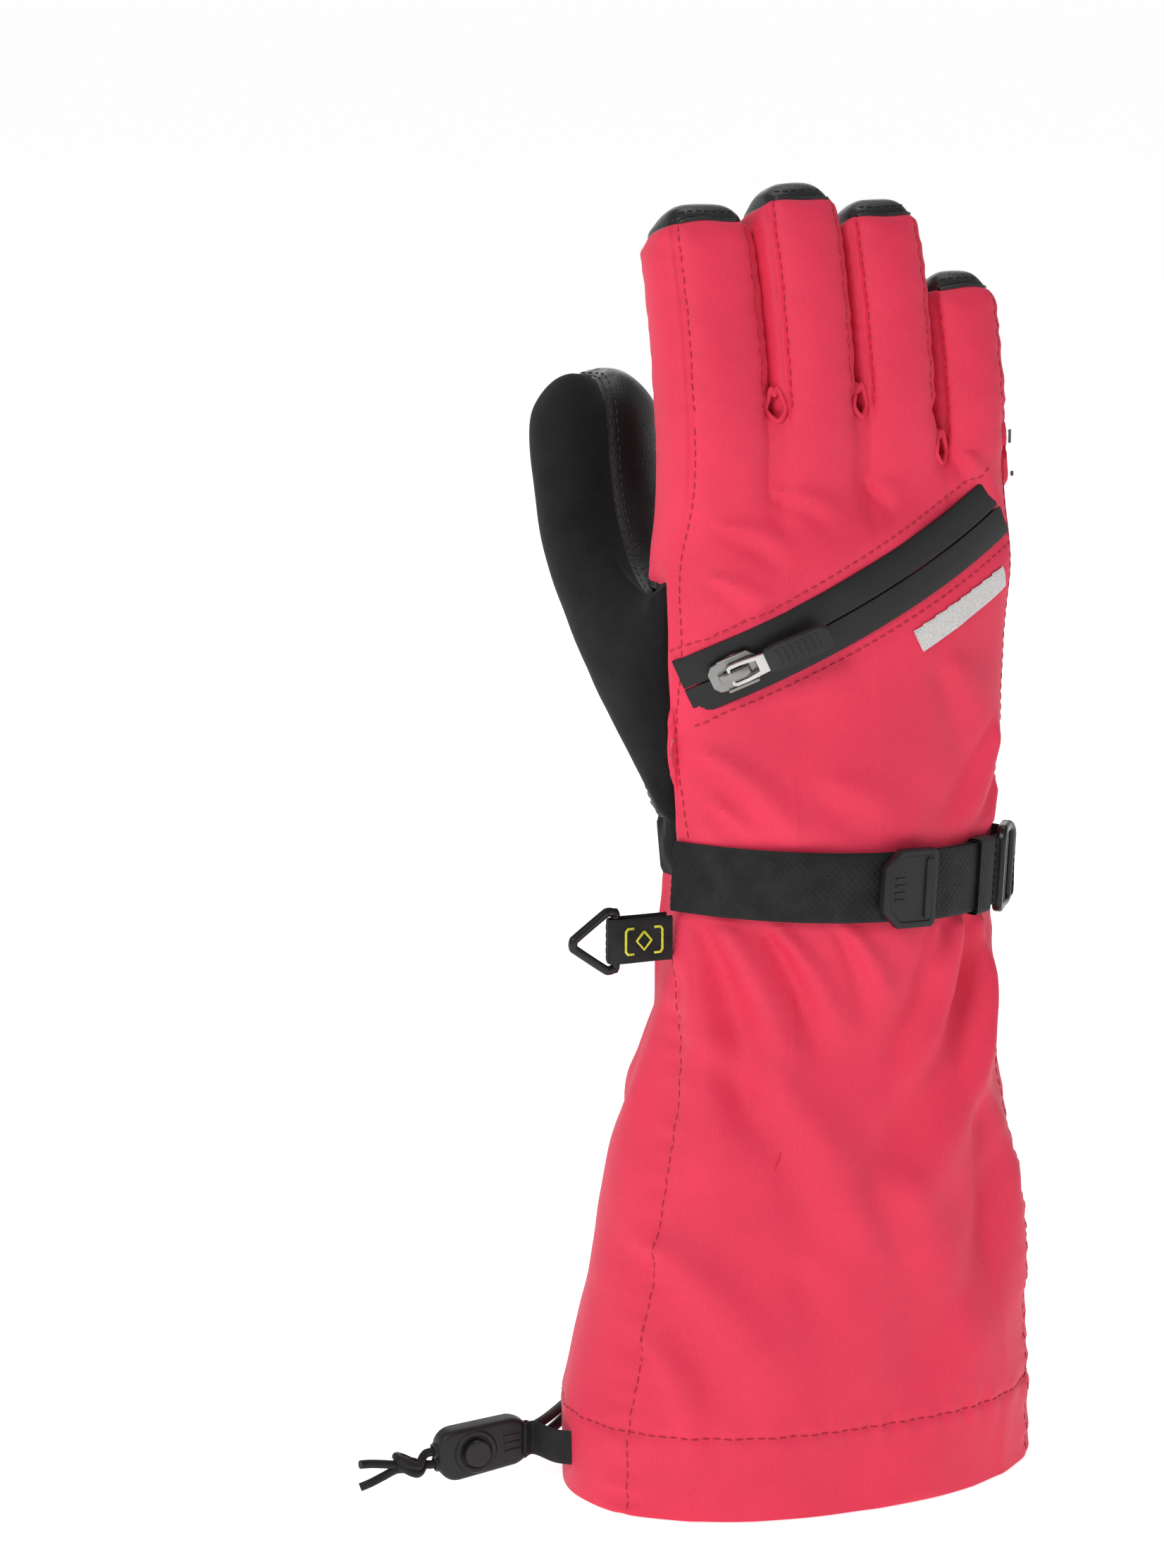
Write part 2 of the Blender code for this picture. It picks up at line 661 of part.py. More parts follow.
def make_hand(skin):
    names = {"back": "hand_back_panel", "index_side": "hand_index_side", "little_side": "hand_little_side",
             "palm": "palm_leather", "suede": "thumb_base_suede", "thumb_leather": "thumb_base_leather"}
    kinds = {"palm": "leather", "suede": "suede", "thumb_leather": "leather"}
    for panel, name in names.items():
        faces = skin.pick(lambda corners, body, tag: body == "hand" and tag == panel)
        add(name, skin.closed(faces, SHELL), kinds.get(panel, "pink"))
    whole = skin.pick(lambda corners, body, tag: body == "hand")
    add("hand_liner", skin.closed(whole, LINER, LINER_GAP), "lining")
    pocket = skin.pick(lambda corners, body, tag: body == "hand" and tag == "back"
                       and 200 < min(skin.points[c].z for c in corners)
                       and max(skin.points[c].z for c in corners) < 280
                       and max(abs(skin.points[c].x) for c in corners) < 40)
    add("pocket_bag", skin.closed(pocket, POCKET_BAG), "lining")


def make_fingers(skin):
    for finger, (name, *_) in enumerate(FINGERS):
        pivot = finger_pivot(finger)
        for panel, kind in (("back", "pink"), ("side_a", "pink"), ("side_b", "pink"), ("front", "leather")):
            faces = skin.pick(lambda corners, body, tag: body == name and tag == panel)
            add(f"{name}_{panel}", skin.closed(faces, SHELL), kind, pivot)
        whole = skin.pick(lambda corners, body, tag: body == name)
        add(f"{name}_liner", skin.closed(whole, LINER, LINER_GAP), "lining", pivot)


def make_thumb(skin):
    pivot, _ = thumb_pivot()
    for panel, name, kind in (("suede", "thumb_suede", "suede"), ("thumb_leather", "thumb_leather", "leather")):
        faces = skin.pick(lambda corners, body, tag: body == "thumb" and tag == panel)
        add(name, skin.closed(faces, SHELL), kind, pivot)
    whole = skin.pick(lambda corners, body, tag: body == "thumb")
    add("thumb_liner", skin.closed(whole, LINER, LINER_GAP), "lining", pivot)


def finger_pivot(finger):
    level = FINGERS[finger][4]
    return Vector((CENTRES[finger], hinge_y(finger) + CLEAR, CROTCH[level][0]))


def thumb_pivot():
    """A point of the thumb's hinge and its axis: the edge of the bend that faces the palm's middle."""
    length = (THUMB_TIP - thumb_base()).length
    share = (1.0 - THUMB_TIP_ROUND / length) * THUMB_SPLIT / (THUMB_RINGS - 3)
    place, side, up, _ = thumb_frame(share)
    return place + side * (THUMB_WIDTH / 2 + CLEAR), -up


# ---------------------------------------------------------------- hem

def hem_columns():
    """The block's columns in order round the hem: along the back, the little side, the palm and back."""
    back = [(column, 0) for column in range(COLUMNS)]
    little = [(COLUMNS, deep) for deep in range(CELLS_DEEP)]
    palm = [(column, CELLS_DEEP) for column in range(COLUMNS, 0, -1)]
    index = [(0, deep) for deep in range(CELLS_DEEP, 0, -1)]
    return back + little + palm + index


def hem_ring(depth, z):
    """Points round the hem at a depth below the skin, above one another at every height."""
    ring = [body_point(column, deep, 0) for column, deep in hem_columns()]
    points = []
    for step, place in enumerate(ring):
        before, after = ring[step - 1], ring[(step + 1) % len(ring)]
        normals = [(b - a).cross(Vector((0.0, 0.0, 1.0))).normalized() for a, b in ((before, place), (place, after))]
        inward = -(normals[0] + normals[1]) / (1.0 + normals[0].dot(normals[1]))
        points.append(Vector((place.x + inward.x * depth, place.y + inward.y * depth, z)))
    return points


def make_hem():
    """The folded channel inside the hem, open at its top, with the drawcord lying in it."""
    wall, slot = GAUNTLET_SHELL[1] + CLEAR, CORD + 2 * CLEAR
    inner = wall + CHANNEL_WALL + slot
    deepest = inner + CHANNEL_WALL
    profile = [(wall, 0.0), (deepest, 0.0), (deepest, HEM_HEIGHT - 4), (inner, HEM_HEIGHT - 4),
               (inner, CHANNEL_WALL), (wall + CHANNEL_WALL, CHANNEL_WALL), (wall + CHANNEL_WALL, 8.0), (wall, 8.0)]
    add("hem_channel", closed_loft([hem_ring(offset, z) for offset, z in profile]), "pink")
    middle = wall + CHANNEL_WALL + slot / 2
    tube("hem_drawcord", hem_ring(middle, CHANNEL_WALL + CLEAR + CORD / 2), CORD, "webbing", cyclic=True)


def surface_frame(place, outward):
    """Axes at a place with local Z along the outward direction."""
    turn = Vector(outward).to_track_quat("Z", "Y").to_matrix().to_4x4()
    return Matrix.Translation(place) @ turn


def eyelet_place():
    """A point of the hem on the palm side near the index side, and the way it faces."""
    columns = hem_columns()
    step = columns.index((EYELET_COLUMN, CELLS_DEEP))
    ring = hem_ring(0.0, EYELET_Z)
    a, b = ring[step], ring[step + 1]
    outward = (b - a).cross(Vector((0.0, 0.0, 1.0))).normalized()
    return (a + b) / 2, outward


def washer(outer, hole, thickness):
    bm = bmesh.new()
    half = thickness / 2
    profile = [(hole / 2, -half), (outer / 2, -half), (outer / 2 - 0.4, half), (hole / 2 + 0.4, half)]
    verts = [bm.verts.new((x, 0.0, z)) for x, z in profile]
    edges = [bm.edges.new((a, b)) for a, b in zip(verts, verts[1:] + verts[:1])]
    bmesh.ops.spin(bm, geom=verts + edges, axis=(0, 0, 1), steps=24, angle=2 * math.pi, use_merge=True)
    bmesh.ops.remove_doubles(bm, verts=bm.verts, dist=0.001)
    return bm


def make_eyelet():
    place, outward = eyelet_place()
    bm = washer(EYELET_OUTER, EYELET_HOLE, EYELET_THICK)
    lift = CLEAR + EYELET_THICK / 2
    bmesh.ops.transform(bm, verts=bm.verts, matrix=surface_frame(place + outward * lift, outward))
    add("eyelet", bm, "nickel")


# ---------------------------------------------------------------- zip

def make_zip():
    half, slot = TAPE_WIDTH / 2, TAPE_SLOT / 2
    low, high = TAPE_LIFT, TAPE_LIFT + TAPE_THICK
    add("zip_tape_upper", ZIP.strip(low, high, slot, half, -ZIP_SPAN, ZIP_SPAN), "leather")
    add("zip_tape_lower", ZIP.strip(low, high, -half, -slot, -ZIP_SPAN, ZIP_SPAN), "leather")
    coil = slot - CLEAR
    add("zip_coil", ZIP.strip(low - 0.4, high - 0.4, -coil, coil, -ZIP_SPAN, ZIP_SPAN), "plastic")
    label = LABEL_LENGTH / 2 / ZIP_RADIUS
    middle = ZIP_SPAN - label - 0.05
    drop = -TAPE_WIDTH / 2 - 9.0
    add("label_bar", ZIP.strip(low, low + 0.7, drop - LABEL_WIDTH / 2, drop + LABEL_WIDTH / 2,
                               middle - label, middle + label), "grey")


SLIDER_REST = -ZIP_SPAN + (SLIDER_LENGTH / 2 + 1.0) / ZIP_RADIUS
SLIDER_BASE = TAPE_LIFT + TAPE_THICK + CLEAR
SLIDER_THICK = 1.6
PIN_HEIGHT = SLIDER_BASE + SLIDER_THICK + 1.7
BRIDGE_WIDTH = 3.0
ARM_THICK = 1.3


def draw_out(bm, face, scale, rise):
    """Extrude one face, scale it about the local Z axis, raise it, and return it."""
    grown = bmesh.ops.extrude_face_region(bm, geom=[face])["geom"]
    bmesh.ops.delete(bm, geom=[face], context="FACES")
    raised = [g for g in grown if isinstance(g, bmesh.types.BMVert)]
    bmesh.ops.scale(bm, verts=raised, vec=scale)
    bmesh.ops.translate(bm, verts=raised, vec=(0.0, 0.0, rise))
    return faces_of(grown)[0]


def make_slider():
    """The slider's plate with its bridge, and the puller hinged beside the bridge."""
    frame = ZIP.frame_at(SLIDER_REST)
    bm = plate(round_box_outline(SLIDER_LENGTH, SLIDER_WIDTH, 3.0), SLIDER_THICK)
    top = max(bm.faces, key=lambda f: f.calc_center_median().z)
    top = draw_out(bm, top, (0.45, BRIDGE_WIDTH / SLIDER_WIDTH, 1.0), 0.0)
    draw_out(bm, top, (1.0, 1.0, 1.0), PIN_HEIGHT + 1.0 - SLIDER_BASE - SLIDER_THICK)
    lay = frame @ Matrix.Rotation(math.radians(90), 4, "X") @ Matrix.Translation((0.0, 0.0, SLIDER_BASE))
    bmesh.ops.transform(bm, verts=bm.verts, matrix=lay)
    add("zip_slider", bm, "nickel", ZIP.centre)

    pivot = frame @ Vector((0.0, -PIN_HEIGHT, 0.0))
    inner = BRIDGE_WIDTH + 2 * CLEAR
    outer = inner + 2 * ARM_THICK
    outline = [(-1.0, -outer / 2), (PULLER_ARM, -outer / 2), (PULLER_ARM, outer / 2), (-1.0, outer / 2),
               (-1.0, inner / 2), (PULLER_ARM - 2.0, inner / 2), (PULLER_ARM - 2.0, -inner / 2), (-1.0, -inner / 2)]
    lay = frame @ Matrix.Rotation(math.radians(90), 4, "X") @ Matrix.Translation((0.0, 0.0, PIN_HEIGHT - 0.6))
    bm = plate(outline, 1.2)
    bmesh.ops.transform(bm, verts=bm.verts, matrix=lay)
    add("zip_puller", bm, "nickel", pivot)
    bm = plate(round_box_outline(GRIP_LENGTH, GRIP_WIDTH, 2.0), GRIP_THICK)
    shift = Matrix.Translation((PULLER_ARM + CLEAR + GRIP_LENGTH / 2, 0.0, 0.6 - GRIP_THICK / 2))
    bmesh.ops.transform(bm, verts=bm.verts, matrix=lay @ shift)
    add("puller_grip", bm, "rubber", pivot)
    return pivot


# ---------------------------------------------------------------- wrist strap

def on_strap(length):
    """An angle on the strap's arc for a length along it."""
    return length / STRAP_RADIUS


STRAP_LOW = STRAP_LIFT
TAIL_LOW = STRAP_LOW + WEBBING_THICK + CLEAR
TAB_START = 0.0
TAIL_START = TAB_START + on_strap(TAB_LENGTH + CLEAR)
KEEPER_START = math.radians(31.5)
LOCK_START = math.radians(42)
LOCK_END = LOCK_START + on_strap(LOCK_LENGTH)


def make_strap():
    """The strap over the back of the wrist, its tail and tab, the keeper and the ladder lock."""
    half = WEBBING_WIDTH / 2
    low, high = STRAP_LOW, STRAP_LOW + WEBBING_THICK
    tail_low, tail_high = TAIL_LOW, TAIL_LOW + WEBBING_THICK
    gap = on_strap(CLEAR)
    start = -math.asin(0.97 * table(HAND_OUTLINE, WRIST_Z)[0] / STRAP_RADIUS)
    add("wrist_strap", STRAP.strip(low, high, -half, half, start, LOCK_START - gap), "webbing")
    add("strap_tail", STRAP.strip(tail_low, tail_high, -half, half, TAIL_START, LOCK_START - gap), "webbing",
        STRAP.centre)

    long, wide, cut = TAB_LENGTH / 2, TAB_WIDTH / 2, 5.0
    outline = [(long, -wide), (long, wide), (-long + cut, wide), (-long, wide - cut), (-long, cut - wide),
               (-long + cut, -wide)]
    bm = plate(outline, TAB_THICK)
    lay = STRAP.frame_at(TAB_START + on_strap(TAB_LENGTH / 2)) @ Matrix.Rotation(math.radians(90), 4, "X")
    bmesh.ops.transform(bm, verts=bm.verts, matrix=lay @ Matrix.Translation((0.0, 0.0, TAIL_LOW)))
    add("strap_tab", bm, "plastic", STRAP.centre)
    make_keeper(half, low, tail_high)
    make_ladder_lock()


def make_keeper(half, low, high):
    """An elastic loop round the strap and its tail."""
    inner_side, outer_side = half + CLEAR, half + CLEAR + KEEPER_THICK
    bottom, top = low - CLEAR - KEEPER_THICK, high + CLEAR + KEEPER_THICK
    end = KEEPER_START + on_strap(KEEPER_LENGTH)
    section = [(bottom, top, outer_side), (bottom + KEEPER_THICK, top - KEEPER_THICK, inner_side)]
    rings = []
    for angle, (r0, r1, z) in ((KEEPER_START, section[0]), (KEEPER_START, section[1]), (end, section[1]),
                               (end, section[0])):
        frame = STRAP.frame() @ Matrix.Rotation(angle, 4, "Z")
        corners = [(r0, -z), (r1, -z), (r1, z), (r0, z)]
        rings.append([frame @ Vector((0.0, -STRAP_RADIUS - r, w)) for r, w in corners])
    bm = closed_loft(rings)
    add("strap_keeper", bm, "webbing", STRAP.centre)


def strap_lock_pivot():
    return STRAP.frame_at(LOCK_END, STRAP_LOW + 1.0).translation


def make_ladder_lock():
    """A flat buckle frame that tilts up about its far bar, and the webbing that holds it."""
    middle = (LOCK_START + LOCK_END) / 2
    bm = plate(round_box_outline(LOCK_LENGTH, LOCK_WIDTH, 3.0), LOCK_THICK,
               hole=round_box_outline(LOCK_LENGTH - 8.0, WEBBING_WIDTH, 1.0))
    lay = STRAP.frame_at(middle, STRAP_LOW + 1.0) @ Matrix.Rotation(math.radians(90), 4, "X")
    bmesh.ops.transform(bm, verts=bm.verts, matrix=lay)
    add("ladder_lock", bm, "plastic", strap_lock_pivot())
    pivot = strap_lock_pivot()
    thick, reach = WEBBING_THICK, 14.0
    centre = pivot + Vector((-thick / 2 - 1.6, 1.5 + reach / 2, 0.0))
    add("lock_loop", box((thick, reach, WEBBING_WIDTH), centre), "webbing")


# ---------------------------------------------------------------- leash

def leash_pivot():
    half, centre, side, _, _ = table(HAND_OUTLINE, LEASH_Z)
    return Vector((-half - LEASH_REACH, centre - side + 4.0, LEASH_Z))


def make_leash():
    """A webbing tab folded round the upright bar of a triangular ring."""
    pivot = leash_pivot()
    inner, layer = RING_ROD / 2 + CLEAR, 0.9
    root = LEASH_REACH - 4.0
    outer = inner + layer
    arc = [math.radians(a) for a in range(90, 271, 30)]
    outline = [(root, outer)] + [(outer * math.cos(a), outer * math.sin(a)) for a in arc] + [(root, -outer)]
    outline += [(root, -inner)] + [(inner * math.cos(a), inner * math.sin(a)) for a in reversed(arc)]
    outline += [(root, inner)]
    bm = plate(outline, LEASH_WIDTH)
    bmesh.ops.translate(bm, verts=bm.verts, vec=pivot - Vector((0, 0, LEASH_WIDTH / 2)))
    add("leash_tab", bm, "webbing")
    half = RING_HEIGHT / 2
    corner, depth = 3.0, RING_DEPTH - RING_ROD
    path = [(0.0, -half + 1.0), (0.0, half - 1.0), (-1.0, half), (-corner, half), (-depth + 1.0, 1.6),
            (-depth, 0.0), (-depth + 1.0, -1.6), (-corner, -half), (-1.0, -half)]
    ring = tube("leash_ring", [Vector((x, 0.0, z)) for x, z in path], RING_ROD, "plastic", cyclic=True)
    ring.location = pivot * MM


# ---------------------------------------------------------------- cord lock

def lock_frame():
    """Local X from the glove outwards along the cord, local Y towards the palm side, local Z up."""
    return Matrix.Translation(CORD_LOCK_CENTRE) @ Matrix.Rotation(math.radians(180) - CORD_LOCK_DROOP, 4, "Y") \
        @ Matrix.Rotation(0.0, 4, "X")


def cutter(name, bm):
    """A hidden guide object for a Boolean."""
    made = add(name, bm, "plastic")
    made.hide_render = True
    made.display_type = "WIRE"
    return made


def cylinder(radius, depth, sides=24):
    bm = bmesh.new()
    bmesh.ops.create_cone(bm, cap_ends=True, segments=sides, radius1=radius, radius2=radius, depth=depth)
    return bm


def boolean(target, other, operation):
    step = target.modifiers.new(operation.lower(), "BOOLEAN")
    step.operation = operation
    step.object = other


def make_cord_lock():
    """A flat body with a sprung button, on two strands of cord that end in a knot."""
    frame = lock_frame()
    length, thick, width = CORD_LOCK
    lay = Matrix.Rotation(math.radians(90), 4, "X")
    bm = plate(round_box_outline(length, width, 5.0, 4), thick)
    bmesh.ops.transform(bm, verts=bm.verts, matrix=frame @ lay @ Matrix.Translation((0.0, 0.0, -thick / 2)))
    body = add("cord_lock_body", bm, "plastic")
    pocket_depth = thick - 1.6
    pocket_place = Matrix.Translation((3.0, -thick / 2 + pocket_depth / 2 - 0.5, 0.0))
    bm = cylinder(BUTTON_RADIUS + CLEAR, pocket_depth + 1.0)
    bmesh.ops.transform(bm, verts=bm.verts, matrix=frame @ pocket_place @ lay)
    boolean(body, cutter("pocket_cutter", bm), "DIFFERENCE")
    floor_y = -thick / 2 + pocket_depth
    spring_length = 1.4
    button_low = floor_y - CLEAR - spring_length - BUTTON_TRAVEL - CLEAR
    button_high = -thick / 2 - BUTTON_TRAVEL - 0.3
    bm = cylinder(BUTTON_RADIUS, button_low - button_high)
    bmesh.ops.transform(bm, verts=bm.verts,
                        matrix=frame @ Matrix.Translation((3.0, (button_low + button_high) / 2, 0.0)) @ lay)
    add("lock_button", bm, "plastic")
    wire, turns, steps = 0.4, 2, 12
    coil = []
    for step in range(turns * steps + 1):
        turn = 2 * math.pi * step / steps
        rise = floor_y - CLEAR - wire / 2 - (spring_length - wire) * step / (turns * steps)
        coil.append(frame @ Vector((3.0 + 2.6 * math.cos(turn), rise, 2.6 * math.sin(turn))))
    tube("lock_spring", coil, wire, "nickel", resolution=1)
    make_strands(frame, length)


def make_strands(frame, length):
    """Two strands from the eyelet to the lock, then the knot with its stems and tails."""
    place, outward = eyelet_place()
    for name, side, twist in (("cord_strand_a", 1.0, 0.6), ("cord_strand_b", -1.0, -0.6)):
        start = place + outward * (CLEAR * 2 + EYELET_THICK + STRAND / 2 + 1.0) + Vector((0, 0, 1.7 * side))
        end = frame @ Vector((-length / 2 - 2 * CLEAR, 0.0, 1.9 * -side))
        lead = frame @ Vector((-length / 2 - 8.0, twist, 2.0 * -side))
        points = bezier(start, start + outward * 5.0, lead, end, 14)
        tube(name, points, STRAND, "webbing")
    knot = frame @ Vector((length / 2 + 8.5, 0.0, 0.0))
    bm = bmesh.new()
    bmesh.ops.create_icosphere(bm, subdivisions=2, radius=4.3)
    bmesh.ops.transform(bm, verts=bm.verts, matrix=Matrix.Translation(knot))
    ball = add("drawcord_knot", bm, "webbing")
    for side in (1.0, -1.0):
        stem_low, stem_high = length / 2 + 2 * CLEAR, length / 2 + 7.0
        tail_end = length / 2 + 23.0
        for index, (a, b) in enumerate(((Vector((stem_low, 0, 1.9 * side)), Vector((stem_high, 0, 1.7 * side))),
                                        (Vector((length / 2 + 9.5, 0, 1.2 * side)),
                                         Vector((tail_end, 0.8 * side, 3.6 * side))))):
            start, end = frame @ a, frame @ b
            bm = cylinder(STRAND / 2, (end - start).length, 10)
            turn = (end - start).to_track_quat("Z", "Y").to_matrix().to_4x4()
            bmesh.ops.transform(bm, verts=bm.verts, matrix=Matrix.Translation((start + end) / 2) @ turn)
            boolean(ball, cutter(f"knot_part_{index}_{side > 0}", bm), "UNION")


def bezier(a, b, c, d, count):
    points = []
    for step in range(count):
        t = step / (count - 1)
        s = 1.0 - t
        points.append(a * s ** 3 + b * (3 * s * s * t) + c * (3 * s * t * t) + d * t ** 3)
    return points


def make_lock_tab():
    """The webbing that ties the cord lock to the hem's side seam."""
    frame = lock_frame()
    start = Vector((-75.6, 3.0, 13.0))
    end = frame @ Vector((-CORD_LOCK.x / 2 + 2.0, -CORD_LOCK.y / 2 - 1.2, 0.0))
    along = end - start
    bm = box((along.length, 1.2, 10.0))
    turn = Matrix.Rotation(math.atan2(along.y, along.x), 4, "Z")
    bmesh.ops.transform(bm, verts=bm.verts, matrix=Matrix.Translation((start + end) / 2) @ turn)
    add("cord_lock_tab", bm, "webbing")


# ---------------------------------------------------------------- assembly

CORD_PIECES = ("cord_strand_a", "cord_strand_b", "drawcord_knot", "cord_lock_body", "lock_button", "lock_spring",
               "cord_lock_tab")


def centre_on_origin():
    """Move everything so that the glove without its cord stands over the origin, and return the move."""
    bpy.context.view_layer.update()
    lows, highs = [], []
    for made in bpy.context.scene.objects:
        if made.hide_render or made.name in CORD_PIECES:
            continue
        corners = [made.matrix_world @ Vector(corner) for corner in made.bound_box]
        lows.append([min(c[axis] for c in corners) for axis in range(3)])
        highs.append([max(c[axis] for c in corners) for axis in range(3)])
    low, high = np.min(lows, axis=0), np.max(highs, axis=0)
    shift = Vector((-(low[0] + high[0]) / 2, -(low[1] + high[1]) / 2, -low[2]))
    for made in bpy.context.scene.objects:
        made.location += shift
    return shift


def main():
    for made in list(bpy.data.objects):
        bpy.data.objects.remove(made, do_unlink=True)
    skin = Skin()
    make_gauntlet(skin)
    make_hand(skin)
    make_fingers(skin)
    make_thumb(skin)
    make_hem()
    make_eyelet()
    make_zip()
    puller = make_slider()
    make_strap()
    make_leash()
    make_cord_lock()
    make_lock_tab()
    shift = centre_on_origin()
    for label, place in [(name, finger_pivot(f)) for f, (name, *_) in enumerate(FINGERS)] + [
            ("thumb", thumb_pivot()[0]), ("zip", ZIP.centre), ("puller", puller), ("strap", STRAP.centre),
            ("lock", strap_lock_pivot()), ("leash", leash_pivot()), ("cord_lock", CORD_LOCK_CENTRE)]:
        print("PIVOT", label, [round(c, 6) for c in place * MM + shift])
    print("THUMB_AXIS", [round(c, 4) for c in thumb_pivot()[1]], "SHIFT", list(shift))


main()
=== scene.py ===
# %% [markdown]
# # A ski glove with a long gauntlet
# The glove is a right-hand one, standing on its hem with the back of the hand towards the camera.
# The CAD model gives the frame: every finger, the thumb, the zip's slider and the buckle already have
# their place and their joint there. This lesson dresses that frame in cloth, leather and hardware.

# %% Load the frame
import json
import math

import bmesh
import bpy
import numpy as np
from mathutils import Matrix, Vector, noise
from mathutils.bvhtree import BVHTree
from mathutils.kdtree import KDTree

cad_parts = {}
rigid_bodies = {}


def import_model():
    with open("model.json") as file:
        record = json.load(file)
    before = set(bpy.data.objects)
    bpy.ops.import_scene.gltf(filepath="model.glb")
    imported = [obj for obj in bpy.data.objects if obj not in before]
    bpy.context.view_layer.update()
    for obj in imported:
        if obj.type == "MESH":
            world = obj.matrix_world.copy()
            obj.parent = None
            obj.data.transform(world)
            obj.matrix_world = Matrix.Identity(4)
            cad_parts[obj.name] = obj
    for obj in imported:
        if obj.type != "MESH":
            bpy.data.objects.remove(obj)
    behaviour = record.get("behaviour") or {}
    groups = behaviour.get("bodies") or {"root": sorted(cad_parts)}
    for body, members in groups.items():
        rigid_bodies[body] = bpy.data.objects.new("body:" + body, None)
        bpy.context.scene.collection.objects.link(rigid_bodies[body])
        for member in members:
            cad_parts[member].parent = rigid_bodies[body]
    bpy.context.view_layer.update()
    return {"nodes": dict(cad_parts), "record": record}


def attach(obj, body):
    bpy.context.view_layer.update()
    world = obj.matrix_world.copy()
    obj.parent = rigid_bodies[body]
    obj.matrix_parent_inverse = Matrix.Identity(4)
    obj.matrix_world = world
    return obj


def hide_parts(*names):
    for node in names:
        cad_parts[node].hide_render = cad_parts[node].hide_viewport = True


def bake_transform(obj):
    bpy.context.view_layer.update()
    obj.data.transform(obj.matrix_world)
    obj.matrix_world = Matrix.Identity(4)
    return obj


for leftover in list(bpy.data.objects):
    bpy.data.objects.remove(leftover)
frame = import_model()
MM = 0.001
JOINTS = {joint["name"]: joint for joint in frame["record"]["behaviour"]["joints"]}

# %% [markdown]
# ## The camera
# The camera comes first, because the cord has to stay in its view. The camera looks at the back of
# the hand from the index side and from a little above, through a long lens, as a product picture
# does.

# %% Camera
TARGET = Vector((-0.0548, 0.0143, 0.1980))
TOWARDS_CAMERA = Vector((-0.367, -0.907, 0.208)).normalized()
DISTANCE = 1.215

lens = bpy.data.cameras.new("camera")
lens.sensor_fit = "VERTICAL"
lens.sensor_height = 36.0
lens.lens = 100.0
camera = bpy.data.objects.new("camera", lens)
camera.location = TARGET + TOWARDS_CAMERA * DISTANCE
camera.rotation_euler = TOWARDS_CAMERA.to_track_quat("Z", "Y").to_euler()
bpy.context.scene.collection.objects.link(camera)
bpy.context.scene.camera = camera

# %% [markdown]
# ## Measures and places
# The glove was designed in millimetres about the middle of the row of fingers, so the same measures
# are used here, and one move takes every finished mesh into the shared frame. The move is read from
# the zip's joint, whose centre is known in both frames.

# %% Measures of the skin
FINGERS = (
    ("index", 27.0, 67.0, -6.5, "high"),
    ("middle", 24.0, 72.0, -8.0, "high"),
    ("ring", 23.5, 67.0, -6.5, "high"),
    ("little", 22.0, 50.0, -3.5, "low"),
)
FINGER_GAP, FINGER_DEPTH, TIP_ROUND, FINGER_SQUARENESS = 1.2, 25.5, 9.0, 3.2
FINGER_CURL = math.radians(25)
CROTCH = {"low": (287.0, 292.0), "high": (291.0, 306.0)}
THUMB_WIDTH, THUMB_DEPTH, THUMB_TIP_ROUND = 33.0, 28.0, 12.0
THUMB_TIP = Vector((-48.0, 51.0, 309.0))
THUMB_OUT = Vector((-0.35, 0.94, 0.0)).normalized()
HEM_HEIGHT, WRIST_Z = 24.0, 176.0
ROW_Z = (0.0, 11.0, 22.0, 26.0, 42.0, 62.0, 81.0, 100.0, 118.0, 135.0, 147.0, 158.0, 167.0, WRIST_Z,
         192.0, 208.0, 225.0, 242.0, 258.0, 270.0, 281.0)
WRIST_ROW = ROW_Z.index(WRIST_Z)
THUMB_ROWS = (WRIST_ROW + 1, WRIST_ROW + 5)
HAND_OUTLINE = (
    (135.0, 49.0, -3.0, 9.0, 21.0, 20.0),
    (WRIST_Z, 46.5, -4.0, 9.0, 20.4, 17.5),
    (200.0, 48.0, -4.0, 9.0, 18.5, 18.5),
    (230.0, 50.0, -4.0, 9.0, 16.3, 19.5),
    (260.0, 50.5, -4.0, 8.5, 14.5, 11.0),
    (290.0, 50.0, -5.0, 9.0, 9.0, 5.0),
)
GAUNTLET_OUTLINE = (
    (0.0, 70.0, 44.0, -5.0),
    (HEM_HEIGHT, 70.0, 44.0, -5.0),
    (100.0, 58.0, 38.0, -2.0),
    (150.0, 48.0, 33.0, 0.0),
)
GAUNTLET_TO_HAND = (105.0, 156.0)
HAND_TO_FINGERS = (262.0, 287.0)
CELLS_WIDE, CELLS_DEEP, THUMB_COLUMNS, THUMB_SPLIT = 3, 4, 3, 5
COLUMNS = CELLS_WIDE * len(FINGERS) + len(FINGERS) - 1
FINGER_ROWS, THUMB_RINGS = 6, 9
TAPE_WIDTH = 17.0


# %% Small helpers for shapes
UPRIGHT = Matrix.Rotation(math.radians(90), 4, "X")     # turns local Z towards -Y, and local Y towards Z


def smooth(low, high, value):
    t = min(1.0, max(0.0, (value - low) / (high - low)))
    return t * t * (3.0 - 2.0 * t)


def mix(a, b, t):
    return a + (b - a) * t


def table(rows, height):
    """Read a row of sizes at a height from rows that start with their height."""
    heights = [row[0] for row in rows]
    return [float(np.interp(height, heights, column)) for column in list(zip(*rows))[1:]]


def superellipse(u, v, exponent):
    """The point where the ray to (u, v) of the unit square's edge meets a superellipse."""
    reach, turn = max(abs(u), abs(v)), math.atan2(v, u)
    c, s = math.cos(turn), math.sin(turn)
    power = 2.0 / exponent
    return reach * math.copysign(abs(c) ** power, c), reach * math.copysign(abs(s) ** power, s)


